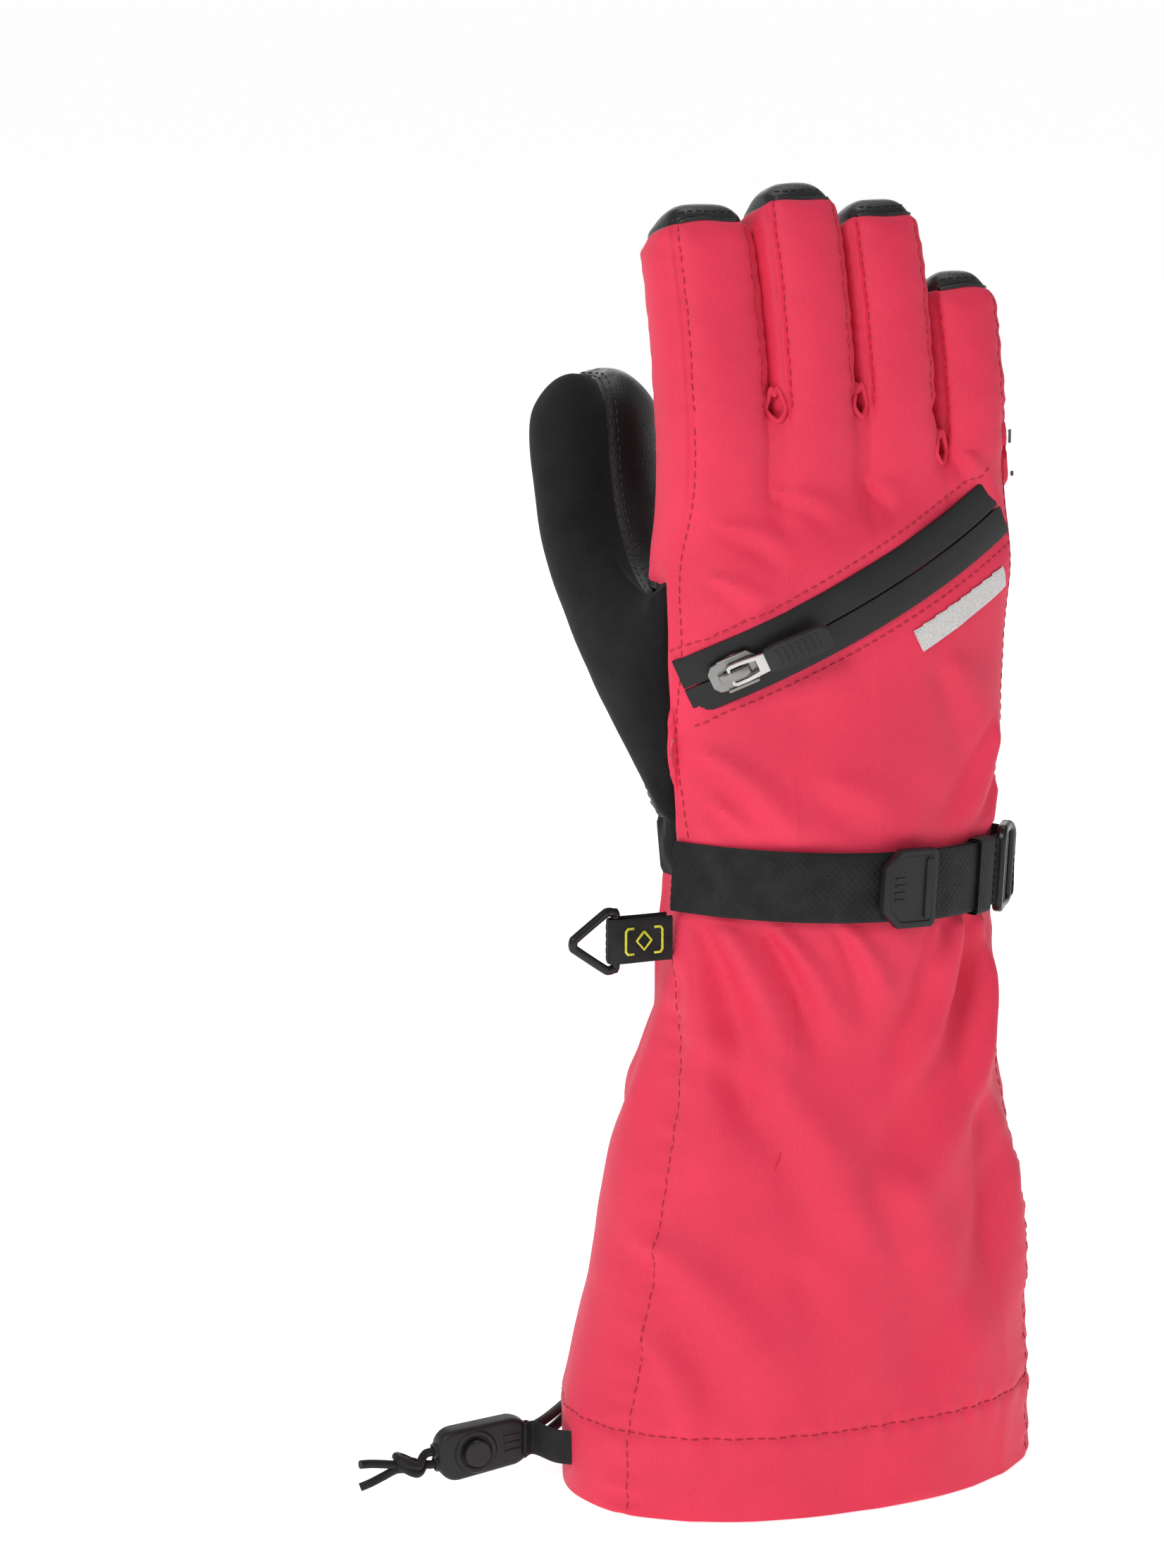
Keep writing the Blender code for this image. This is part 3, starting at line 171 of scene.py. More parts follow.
class Arc:
    """A round path over the back of the hand: angle 0 faces -Y, and the path runs towards +X."""

    def __init__(self, tilt, radius, top_y, z):
        self.along = Vector((math.cos(tilt), 0.0, math.sin(tilt)))
        self.axis = Vector((-math.sin(tilt), 0.0, math.cos(tilt)))
        self.radius = radius
        self.centre = Vector((0.0, top_y + radius, z))
        turn = Matrix((self.along, Vector((0.0, 1.0, 0.0)), self.axis)).transposed()
        self.frame = Matrix.Translation(self.centre) @ turn.to_4x4()

    def at(self, angle, across=0.0, height=0.0):
        """The point at an angle along, a distance across and a height over the surface."""
        place = Vector((0.0, -self.radius - height, across))
        return self.frame @ Matrix.Rotation(angle, 3, "Z").to_4x4() @ place

    def lay(self, angle, height=0.0):
        """Axes at a point of the path: local X along it, local Y across it, local Z outwards."""
        outwards = Matrix.Translation((0.0, -self.radius - height, 0.0))
        return self.frame @ Matrix.Rotation(angle, 4, "Z") @ outwards @ UPRIGHT


def back_y(z):
    _, centre, side, crown, _ = table(HAND_OUTLINE, z)
    return centre - side - crown


ZIP = Arc(math.radians(26), 105.0, back_y(254.0), 254.0)
STRAP = Arc(math.radians(-3), 62.0, back_y(WRIST_Z), WRIST_Z)
HOME = Vector(JOINTS["zip_slide"]["pos_m"]) - ZIP.centre * MM
print("move into the shared frame, mm:", [round(c / MM, 2) for c in HOME])


def joint_place(name):
    """A joint's point in design millimetres."""
    return Vector(JOINTS[name]["pos_m"]) / MM - HOME / MM


# %% [markdown]
# ## Making a piece
# Each piece is a bmesh in design millimetres. One helper takes it home, gives it its finish, lets it
# ride on its body and says which CAD solids it stands for, so none of these steps is forgotten.

# %% The piece maker
def piece(name, bm, finish, body=None, stands_for=(), sharp=40.0):
    """Turn a bmesh in design millimetres into a finished object of the shared frame."""
    bmesh.ops.recalc_face_normals(bm, faces=bm.faces)
    bmesh.ops.transform(bm, verts=bm.verts, matrix=Matrix.Translation(HOME) @ Matrix.Scale(MM, 4))
    mesh = bpy.data.meshes.new(name)
    bm.to_mesh(mesh)
    bm.free()
    mesh.materials.append(finish)
    mesh.shade_smooth()
    mesh.set_sharp_from_angle(angle=math.radians(sharp))
    made = bpy.data.objects.new(name, mesh)
    bpy.context.scene.collection.objects.link(made)
    if body:
        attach(made, body)
    if stands_for:
        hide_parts(*stands_for)
    print(f"{name}: {len(mesh.polygons)} faces")
    return made


def join(*parts):
    """Several bmeshes as one."""
    whole = bmesh.new()
    for part in parts:
        mesh = bpy.data.meshes.new("part")
        bmesh.ops.recalc_face_normals(part, faces=part.faces)
        part.to_mesh(mesh)
        part.free()
        whole.from_mesh(mesh)
        bpy.data.meshes.remove(mesh)
    return whole


# %% A map for the weave
def cloth_map(mesh):
    """A UV map in millimetres for the weave, laid flat on each face's own main direction."""
    count = len(mesh.loops)
    co = np.empty(len(mesh.vertices) * 3)
    mesh.vertices.foreach_get("co", co)
    corner = np.empty(count, dtype=np.int32)
    mesh.loops.foreach_get("vertex_index", corner)
    normal = np.empty(len(mesh.polygons) * 3)
    mesh.polygons.foreach_get("normal", normal)
    total = np.empty(len(mesh.polygons), dtype=np.int32)
    mesh.polygons.foreach_get("loop_total", total)
    sideways = np.repeat(np.abs(normal.reshape(-1, 3)).argmax(axis=1), total)
    place = co.reshape(-1, 3)[corner] / MM
    across = np.where(sideways == 0, place[:, 1], place[:, 0])
    up = np.where(sideways == 2, place[:, 1], place[:, 2])
    layer = mesh.uv_layers.new(name="cloth")
    layer.data.foreach_set("uv", np.stack([across, up], axis=1).ravel())


# %% [markdown]
# ## Finishes
# Every finish is a small node tree on a Principled shader. Colour varies a little from place to place,
# as dyed cloth and handled leather do, and the fine relief is bump: weave, grain, nap or moulded
# texture, each at its real scale in metres on Object coordinates, or in millimetres on a piece's own map.

# %% Node helpers
def new_finish(name, colour, roughness, **sockets):
    """A material with its Principled shader's own sockets set, and its node tree."""
    made = bpy.data.materials.new(name)
    made.use_nodes = True
    shader = made.node_tree.nodes["Principled BSDF"]
    shader.inputs["Base Color"].default_value = (*colour, 1.0)
    shader.inputs["Roughness"].default_value = roughness
    for socket, value in sockets.items():
        shader.inputs[socket.replace("_", " ")].default_value = value
    return made, made.node_tree, shader


def node(tree, kind, inputs=(), **settings):
    """Add a node, set its options, and set or link its inputs."""
    made = tree.nodes.new("ShaderNode" + kind)
    for key, value in settings.items():
        setattr(made, key, value)
    for key, value in dict(inputs).items():
        if isinstance(value, bpy.types.NodeSocket):
            tree.links.new(value, made.inputs[key])
        else:
            made.inputs[key].default_value = value
    return made


def coordinates(tree, uv=False, scale=(1.0, 1.0, 1.0)):
    source = node(tree, "UVMap") if uv else node(tree, "TexCoord")
    mapped = node(tree, "Mapping", {"Vector": source.outputs["UV" if uv else "Object"], "Scale": scale})
    return mapped.outputs["Vector"]


def noise_at(tree, vector, scale, detail=3.0, rough=0.55):
    made = node(tree, "TexNoise", {"Vector": vector, "Scale": scale, "Detail": detail, "Roughness": rough})
    return made.outputs["Fac"]


def maths(tree, operation, a, b=0.0):
    made = node(tree, "Math", {0: a, 1: b}, operation=operation)
    return made.outputs[0]


def tint(tree, factor, low, high, dark, light):
    """A colour that goes from dark to light as the factor goes from low to high."""
    ramp = node(tree, "ValToRGB", {"Fac": factor})
    first, last = ramp.color_ramp.elements
    first.position, last.position = low, high
    first.color, last.color = (*dark, 1.0), (*light, 1.0)
    return ramp.outputs["Color"]


def relief(tree, shader, *layers):
    """Stack bump layers, each a height, a strength and a distance in metres."""
    normal = None
    for height, strength, distance in layers:
        inputs = {"Height": height, "Strength": strength, "Distance": distance}
        if normal:
            inputs["Normal"] = normal
        normal = node(tree, "Bump", inputs).outputs["Normal"]
    tree.links.new(normal, shader.inputs["Normal"])


def paint(tree, shader, colour=None, roughness=None):
    if colour:
        tree.links.new(colour, shader.inputs["Base Color"])
    if roughness:
        tree.links.new(roughness, shader.inputs["Roughness"])


def spread(tree, factor, low, high):
    """Map a 0..1 factor onto a range."""
    return node(tree, "MapRange", {"Value": factor, "To Min": low, "To Max": high}).outputs["Result"]


# %% Cloth and thread
PINK = (0.80, 0.034, 0.088)


def weave(tree, vector, across, along):
    """Crossing threads: one wave each way, the higher one showing."""
    warp = node(tree, "TexWave", {"Vector": vector, "Scale": across, "Distortion": 0.6, "Detail": 1.0,
                                  "Detail Scale": 2.0}, bands_direction="X").outputs["Fac"]
    weft = node(tree, "TexWave", {"Vector": vector, "Scale": along, "Distortion": 0.6, "Detail": 1.0,
                                  "Detail Scale": 2.0}, bands_direction="Y").outputs["Fac"]
    return maths(tree, "MAXIMUM", warp, weft)


def make_softshell():
    """Tight-woven shell cloth: matt, a little sheen, fine threads and soft creases from handling."""
    made, tree, shader = new_finish("softshell_cloth", PINK, 0.62, Sheen_Weight=0.15, Sheen_Roughness=0.35,
                                    Sheen_Tint=(1.0, 0.55, 0.6, 1.0), Specular_IOR_Level=0.32)
    flat = coordinates(tree, uv=True)
    place = coordinates(tree)
    threads = weave(tree, flat, 0.62, 0.52)
    cloud = noise_at(tree, place, 28.0)
    slub = noise_at(tree, coordinates(tree, uv=True, scale=(3.2, 0.35, 1.0)), 1.0, 4.0)
    mixed = maths(tree, "ADD", maths(tree, "MULTIPLY", cloud, 0.6), maths(tree, "MULTIPLY", slub, 0.4))
    dark, light = [c * 0.86 for c in PINK], (0.86, 0.042, 0.10)
    paint(tree, shader, tint(tree, mixed, 0.3, 0.7, dark, light), spread(tree, cloud, 0.52, 0.72))
    crease = noise_at(tree, place, 90.0, 4.0)
    relief(tree, shader, (threads, 0.28, 0.00012), (slub, 0.25, 0.0002), (crease, 0.30, 0.0006))
    return made


def make_leather():
    """Black coated leather: a pebbled grain with fine creases, and gloss that varies from place to place."""
    made, tree, shader = new_finish("leather", (0.008, 0.008, 0.009), 0.36, Coat_Weight=0.18,
                                    Coat_Roughness=0.3, Specular_IOR_Level=0.55)
    place = coordinates(tree)
    pebble = node(tree, "TexVoronoi", {"Vector": place, "Scale": 900.0, "Randomness": 1.0},
                  feature="DISTANCE_TO_EDGE").outputs["Distance"]
    grain = maths(tree, "MINIMUM", maths(tree, "MULTIPLY", pebble, 4.0), 1.0)
    soft = noise_at(tree, place, 70.0, 5.0)
    paint(tree, shader, tint(tree, soft, 0.3, 0.7, (0.005, 0.005, 0.0055), (0.012, 0.012, 0.013)),
          spread(tree, soft, 0.30, 0.46))
    relief(tree, shader, (grain, 0.30, 0.00015), (soft, 0.45, 0.0009))
    return made


def make_suede():
    """Brushed suede: no gloss, a short nap that lies in soft patches."""
    made, tree, shader = new_finish("suede", (0.008, 0.008, 0.009), 0.95, Sheen_Weight=0.16,
                                    Sheen_Roughness=0.5, Sheen_Tint=(0.6, 0.6, 0.62, 1.0),
                                    Specular_IOR_Level=0.15)
    place = coordinates(tree)
    nap = noise_at(tree, place, 2600.0, 2.0)
    patch = noise_at(tree, place, 60.0, 5.0, 0.65)
    both = maths(tree, "ADD", maths(tree, "MULTIPLY", nap, 0.35), maths(tree, "MULTIPLY", patch, 0.65))
    paint(tree, shader, tint(tree, both, 0.35, 0.7, (0.004, 0.004, 0.0045), (0.014, 0.014, 0.015)))
    relief(tree, shader, (nap, 0.5, 0.0003), (patch, 0.35, 0.0008))
    return made


def make_thread(name, dark, light, roughness=0.6):
    """Twisted sewing thread."""
    made, tree, shader = new_finish(name, light, roughness, Sheen_Weight=0.2, Sheen_Roughness=0.4)
    place = coordinates(tree)
    twist = noise_at(tree, place, 2500.0, 1.0)
    paint(tree, shader, tint(tree, twist, 0.3, 0.7, dark, light))
    relief(tree, shader, (twist, 0.5, 0.0001))
    return made


def make_webbing(name, colour, roughness=0.62):
    """Nylon webbing: the ribs are modelled, and the fine yarns are bump."""
    made, tree, shader = new_finish(name, colour, roughness, Sheen_Weight=0.06, Sheen_Roughness=0.5,
                                    Specular_IOR_Level=0.25)
    place = coordinates(tree)
    yarn = noise_at(tree, place, 1900.0, 2.0)
    wear = noise_at(tree, place, 160.0, 4.0)
    paint(tree, shader, tint(tree, wear, 0.35, 0.75, [c * 0.6 for c in colour], [c * 1.7 for c in colour]),
          spread(tree, yarn, roughness - 0.1, roughness + 0.1))
    relief(tree, shader, (yarn, 0.4, 0.00015))
    return made


def make_lining():
    """Brushed tricot lining: short loops in close rows."""
    made, tree, shader = new_finish("fleece_lining", (0.035, 0.035, 0.038), 0.95, Sheen_Weight=0.5,
                                    Sheen_Roughness=0.7)
    place = coordinates(tree)
    loops = noise_at(tree, place, 1400.0, 3.0)
    paint(tree, shader, tint(tree, loops, 0.3, 0.7, (0.02, 0.02, 0.022), (0.05, 0.05, 0.055)))
    relief(tree, shader, (loops, 0.7, 0.0006))
    return made


# %% Plastics, rubber and metal
def make_plastic(name, colour, roughness, grain_scale, grain_strength):
    made, tree, shader = new_finish(name, colour, roughness, Specular_IOR_Level=0.34)
    place = coordinates(tree)
    grain = noise_at(tree, place, grain_scale, 3.0)
    rub = noise_at(tree, place, 120.0, 5.0)
    paint(tree, shader, tint(tree, rub, 0.3, 0.75, [c * 0.8 for c in colour], [c * 1.35 for c in colour]),
          spread(tree, rub, roughness - 0.06, roughness + 0.1))
    relief(tree, shader, (grain, grain_strength, 0.0001))
    return made


def make_metal(name, colour, roughness):
    """Plated metal with faint polishing marks and handling smears."""
    made, tree, shader = new_finish(name, colour, roughness, Metallic=1.0)
    place = coordinates(tree)
    smear = noise_at(tree, place, 220.0, 4.0)
    brushed = noise_at(tree, coordinates(tree, scale=(1.0, 1.0, 9.0)), 900.0, 2.0)
    paint(tree, shader, tint(tree, smear, 0.3, 0.7, [c * 0.8 for c in colour], colour),
          spread(tree, smear, roughness - 0.08, roughness + 0.12))
    relief(tree, shader, (brushed, 0.12, 0.0001))
    return made


FINISH = {
    "softshell": make_softshell(),
    "leather": make_leather(),
    "suede": make_suede(),
    "pink_thread": make_thread("pink_thread", (0.36, 0.006, 0.024), (0.50, 0.011, 0.038)),
    "black_thread": make_thread("black_thread", (0.008, 0.008, 0.008), (0.03, 0.03, 0.03)),
    "webbing": make_webbing("webbing", (0.010, 0.010, 0.011)),
    "elastic": make_webbing("elastic_webbing", (0.012, 0.012, 0.013), 0.7),
    "cord": make_webbing("elastic_cord", (0.012, 0.012, 0.013), 0.6),
    "lining": make_lining(),
    "tape": make_plastic("zip_film", (0.009, 0.009, 0.010), 0.42, 900.0, 0.12),
    "coil": make_plastic("zip_coil_plastic", (0.014, 0.014, 0.015), 0.4, 900.0, 0.1),
    "plastic": make_plastic("matt_plastic", (0.013, 0.013, 0.014), 0.45, 1600.0, 0.30),
    "gloss_plastic": make_plastic("gloss_plastic", (0.011, 0.011, 0.012), 0.24, 700.0, 0.08),
    "rubber": make_plastic("puller_rubber", (0.022, 0.022, 0.024), 0.68, 2200.0, 0.45),
    "nickel": make_metal("bright_nickel", (0.62, 0.61, 0.59), 0.22),
    "worn_nickel": make_metal("worn_nickel", (0.30, 0.295, 0.285), 0.30),
    "gunmetal": make_metal("gunmetal", (0.16, 0.16, 0.17), 0.32),
    "label_thread": make_thread("label_thread", (0.50, 0.48, 0.48), (0.72, 0.70, 0.70), 0.5),
    "motif_thread": make_thread("motif_thread", (0.52, 0.50, 0.02), (0.78, 0.75, 0.05), 0.55),
}
print("finishes:", ", ".join(sorted(FINISH)))


# %% [markdown]
# ## Round tubes along a line
# Cords, piping, the leash's ring and the raised motif are tubes swept along a smooth line. Each one is
# made as a curve and turned into a mesh. The cord lock's place comes first: the cords run to it, and the
# knot is laid out from it.

# %% Where the cord lock is
# Local X points away from the glove and 6 degrees down, local Y to the palm side, local Z down.
LOCK = Matrix.Translation((-97.0, 13.0, 12.0)) @ Matrix.Rotation(math.radians(180 - 6), 4, "Y")
LOCK_LENGTH, LOCK_THICK, LOCK_WIDTH = 28.0, 7.0, 15.0
STRAND = 3.0
print("cord lock at, mm:", [round(c, 1) for c in LOCK.translation])


# %% Smooth lines and tubes
def bezier(a, b, c, d, count):
    points = []
    for step in range(count):
        t = step / (count - 1)
        s = 1.0 - t
        points.append(a * s ** 3 + b * (3 * s * s * t) + c * (3 * s * t * t) + d * t ** 3)
    return points


def swept(points, diameter, cyclic=False, rings=3):
    """A smooth round tube through design points, as a bmesh in design millimetres."""
    curve = bpy.data.curves.new("swept", "CURVE")
    curve.dimensions = "3D"
    curve.bevel_depth = diameter / 2
    curve.bevel_resolution = rings
    curve.use_fill_caps = not cyclic
    spline = curve.splines.new("POLY")
    spline.points.add(len(points) - 1)
    for point, place in zip(spline.points, points):
        point.co = (*place, 1.0)
        point.radius = 1.0
    spline.use_cyclic_u = cyclic
    holder = bpy.data.objects.new("swept", curve)
    mesh = bpy.data.meshes.new_from_object(holder)
    bm = bmesh.new()
    bm.from_mesh(mesh)
    bmesh.ops.remove_doubles(bm, verts=bm.verts, dist=0.001)
    bpy.data.objects.remove(holder)
    bpy.data.meshes.remove(mesh)
    return bm


def spline_through(points, per_span=6, cyclic=False):
    """Points along a Catmull-Rom line through the given ones."""
    points = [Vector(p) for p in points]
    out, count = [], len(points)
    spans = count if cyclic else count - 1
    for i in range(spans):
        if cyclic:
            p = [points[(i + k) % count] for k in (-1, 0, 1, 2)]
        else:
            p = [points[max(0, i - 1)], points[i], points[i + 1], points[min(count - 1, i + 2)]]
        for step in range(per_span):
            t = step / per_span
            square = 2 * p[0] - 5 * p[1] + 4 * p[2] - p[3]
            cube = 3 * p[1] - p[0] - 3 * p[2] + p[3]
            out.append(0.5 * (2 * p[1] + (p[2] - p[0]) * t + square * t ** 2 + cube * t ** 3))
    if not cyclic:
        out.append(points[-1])
    return out


# %% [markdown]
# ## The skin of the glove
# A glove is sewn from flat panels round a hand, so its skin is one connected surface with a column for
# each finger. It could be sculpted, but a block of quads is easier to steer: a grid is extruded row by
# row up to the fingers, the thumb is extruded from its side, and formulas bend the block to the measures.
# The Subdivision Surface modifier then rounds it, and sculpting in code adds seams, padding and folds.

# %% The outline of hand, fingers and gauntlet
def finger_centres():
    widths = [width for _, width, *_ in FINGERS]
    x = -(sum(widths) + FINGER_GAP * (len(widths) - 1)) / 2
    centres = []
    for width in widths:
        centres.append(x + width / 2)
        x += width + FINGER_GAP
    return centres


CENTRES = finger_centres()
KNUCKLE_HALF = CENTRES[-1] + FINGERS[-1][1] / 2


def column_place(column):
    """Which finger a column belongs to, and where across it, from -1 to 1."""
    finger = min(column // (CELLS_WIDE + 1), len(FINGERS) - 1)
    return finger, 2.0 * (column - finger * (CELLS_WIDE + 1)) / CELLS_WIDE - 1.0


def off_axis(arc, x, z):
    return (x - arc.centre.x) * arc.axis.x + (z - arc.centre.z) * arc.axis.z


def near_arc(arc, x, z, full, none):
    return 1.0 - smooth(full, none, abs(off_axis(arc, x, z)))


def arc_level(arc, x, z):
    along = (x - arc.centre.x) * arc.along.x + (z - arc.centre.z) * arc.along.z
    return arc.centre.y - math.sqrt(max(arc.radius ** 2 - along ** 2, 1.0))


def hand_outline(across, deep, z):
    """A point of the hand's outline: crowned back and palm between straight side walls."""
    half, centre, side, back_crown, palm_crown = table(HAND_OUTLINE, z)
    x = across * half
    if abs(deep) < 1.0:
        return Vector((x, centre + side * deep, z))
    if deep > 0:
        return Vector((x, centre + side + palm_crown * (1.0 - abs(across) ** 2.4), z))
    radius = (half ** 2 + back_crown ** 2) / (2.0 * back_crown)
    level = centre - side - back_crown + radius - math.sqrt(radius ** 2 - x ** 2)
    return Vector((x, mix(level, arc_level(ZIP, x, z), near_arc(ZIP, x, z, 12.0, 30.0)), z))


def gauntlet_outline(across, deep, z):
    half, depth, centre = table(GAUNTLET_OUTLINE, z)
    x, y = superellipse(across, deep, 2.2)
    return Vector((centre + half * x, depth * y, z))


def finger_outline(finger, u, v):
    x, y = superellipse(u, v, FINGER_SQUARENESS)
    return x * FINGERS[finger][1] / 2, y * FINGER_DEPTH / 2


def crotch_z(finger, level, y):
    """The sloping plane between the hand and a finger, through the finger's hinge."""
    palm_z, back_z = CROTCH[level]
    return palm_z + (FINGERS[finger][3] + FINGER_DEPTH / 2 - y) * (back_z - palm_z) / FINGER_DEPTH


def body_point(column, depth_row, row):
    """A point of the gauntlet or the hand, up to the fingers' roots."""
    finger, u = column_place(column)
    v = 2.0 * depth_row / CELLS_DEEP - 1.0
    across = (CENTRES[finger] + u * FINGERS[finger][1] / 2) / KNUCKLE_HALF
    level = ("low", "high")[row - len(ROW_Z)] if row >= len(ROW_Z) else None
    z = sum(CROTCH[level]) / 2 if level else ROW_Z[row]
    whole = hand_outline(across, v, z)
    if z < GAUNTLET_TO_HAND[1]:
        whole = mix(gauntlet_outline(across, v, z), whole, smooth(*GAUNTLET_TO_HAND, z))
    dx, dy = finger_outline(finger, u, v)
    apart = Vector((CENTRES[finger] + dx, FINGERS[finger][3] + dy, z))
    under_zip = near_arc(ZIP, whole.x, z, TAPE_WIDTH / 2, TAPE_WIDTH) if v < 0 else 0.0
    place = mix(whole, apart, smooth(*HAND_TO_FINGERS, z) * (1.0 - under_zip))
    if level:
        place.z = crotch_z(finger, level, place.y)
    return place


def finger_point(finger, u, v, row):
    """A point of a finger, row 0 being its root. The finger curls along a circular arc."""
    _, width, length, middle_y, level = FINGERS[finger]
    dx, dy = finger_outline(finger, u, v)
    straight = length - TIP_ROUND
    root = crotch_z(finger, level, middle_y + dy) - CROTCH[level][0]
    straight_rows = FINGER_ROWS - 3
    along, shrink = mix(root, straight, min(1.0, row / straight_rows)), 0.0
    if row > straight_rows:
        turn = math.radians((30, 60, 82)[row - straight_rows - 1])
        along = straight + TIP_ROUND * math.sin(turn)
        shrink = TIP_ROUND * (1.0 - math.cos(turn))
    dx *= 1.0 - shrink / (width / 2)
    dy *= 1.0 - shrink / (FINGER_DEPTH / 2)
    bend = FINGER_CURL / length
    angle = bend * along
    y = middle_y + (1.0 - math.cos(angle)) / bend + dy * math.cos(angle)
    return Vector((CENTRES[finger] + dx, y, CROTCH[level][0] + math.sin(angle) / bend - dy * math.sin(angle)))


# %% The thumb's line
def thumb_cell(column, depth_row, row):
    around = depth_row - 1 if column == 0 and depth_row < CELLS_DEEP else CELLS_DEEP - 1 + column
    low, high = THUMB_ROWS
    return 2.0 * around / (CELLS_DEEP - 1 + THUMB_COLUMNS) - 1.0, 2.0 * (row - low) / (high - low) - 1.0


def thumb_base():
    z = (ROW_Z[THUMB_ROWS[0]] + ROW_Z[THUMB_ROWS[1]]) / 2
    return hand_outline(-0.88, 1.0, z) + Vector((0.0, -6.0, 0.0))


def thumb_frame(share):
    """The thumb's middle at a share of its length, its two cross directions and its heading."""
    a = thumb_base()
    b, c, d = a + THUMB_OUT * 16 + Vector((0, 0, 14)), THUMB_TIP - Vector((0, 0, 45)), THUMB_TIP
    t, s = share, 1.0 - share
    place = a * s ** 3 + b * (3 * s * s * t) + c * (3 * s * t * t) + d * t ** 3
    heading = ((b - a) * (3 * s * s) + (c - b) * (6 * s * t) + (d - c) * (3 * t * t)).normalized()
    side = THUMB_OUT.cross(Vector((0.0, 0.0, 1.0)))
    side = (side - heading * side.dot(heading)).normalized()
    return place, side, side.cross(heading), heading


def thumb_point(column, depth_row, row, ring):
    """A point of the thumb, ring 0 being the hand's own surface."""
    p, q = thumb_cell(column, depth_row, row)
    straight_rings = THUMB_RINGS - 3
    straight = 1.0 - THUMB_TIP_ROUND / (THUMB_TIP - thumb_base()).length
    share, shrink = straight * min(1.0, ring / straight_rings), 0.0
    if ring > straight_rings:
        turn = math.radians((32, 62, 82)[ring - straight_rings - 1])
        share = straight + (1.0 - straight) * math.sin(turn)
        shrink = THUMB_TIP_ROUND * (1.0 - math.cos(turn))
    place, side, up, _ = thumb_frame(share)
    x, y = superellipse(p, q, 2.6)
    around = place + side * (x * (THUMB_WIDTH / 2 - shrink)) + up * (y * (THUMB_DEPTH / 2 - shrink))
    return mix(body_point(column, depth_row, row), around, smooth(0.0, THUMB_SPLIT - 1.0, ring))


# %% Extrude the block
def faces_of(geometry):
    return [g for g in geometry if isinstance(g, bmesh.types.BMFace)]


def verts_of(geometry):
    return [g for g in geometry if isinstance(g, bmesh.types.BMVert)]


def raise_faces(bm, faces, move=(0.0, 0.0, 1.0)):
    """Extrude faces, without leaving the old ones inside, and give the new ones."""
    grown = bmesh.ops.extrude_face_region(bm, geom=faces)["geom"]
    bmesh.ops.delete(bm, geom=faces, context="FACES")
    bmesh.ops.translate(bm, verts=verts_of(grown), vec=move)
    return faces_of(grown)


def doubled(bm):
    """Copy a surface, walled to the first one all round its rim, and give the copy's vertices."""
    whole = bm.verts[:] + bm.edges[:] + bm.faces[:]
    return verts_of(bmesh.ops.extrude_face_region(bm, geom=whole, use_keep_orig=True)["geom"])


def root_row(finger):
    return len(ROW_Z) + (FINGERS[finger][4] == "high")


def build_block():
    """The skin on whole-number places: column, depth row and row, with a ring layer for the thumb."""
    bm = bmesh.new()
    ring_layer = bm.verts.layers.int.new("ring")
    bmesh.ops.create_grid(bm, x_segments=COLUMNS, y_segments=CELLS_DEEP, size=0.5)
    bmesh.ops.translate(bm, verts=bm.verts, vec=(0.5, 0.5, 0.0))
    bmesh.ops.scale(bm, verts=bm.verts, vec=(COLUMNS, CELLS_DEEP, 1.0))
    top = bm.faces[:]
    for _ in ROW_Z:
        top = raise_faces(bm, top)
    high_edge = sum(level == "high" for *_, level in FINGERS) * (CELLS_WIDE + 1) - 1
    high = raise_faces(bm, [f for f in top if f.calc_center_median().x < high_edge])
    roots = high + [f for f in top if f.is_valid and f.calc_center_median().x > high_edge]
    for finger in range(len(FINGERS)):
        first = finger * (CELLS_WIDE + 1)
        column = [f for f in roots if f.is_valid and first < f.calc_center_median().x < first + CELLS_WIDE]
        for _ in range(FINGER_ROWS):
            column = raise_faces(bm, column)
    low, high_row = THUMB_ROWS
    patch = []
    for face in bm.faces:
        x, y, z = face.calc_center_median()
        if low < z < high_row and ((x == 0 and y > 1) or (y == CELLS_DEEP and x < THUMB_COLUMNS)):
            patch.append(face)
    for ring in range(1, THUMB_RINGS + 1):
        grown = bmesh.ops.extrude_face_region(bm, geom=patch)["geom"]
        bmesh.ops.delete(bm, geom=patch, context="FACES")
        for vert in verts_of(grown):
            vert[ring_layer] = ring
        patch = faces_of(grown)
    for vert in bm.verts:
        vert.co = [round(c) for c in vert.co]
    return bm, ring_layer


# %% Sort the block's faces into panels
PANELS = []                   # (body, panel, which sewn cloth it is cut from)


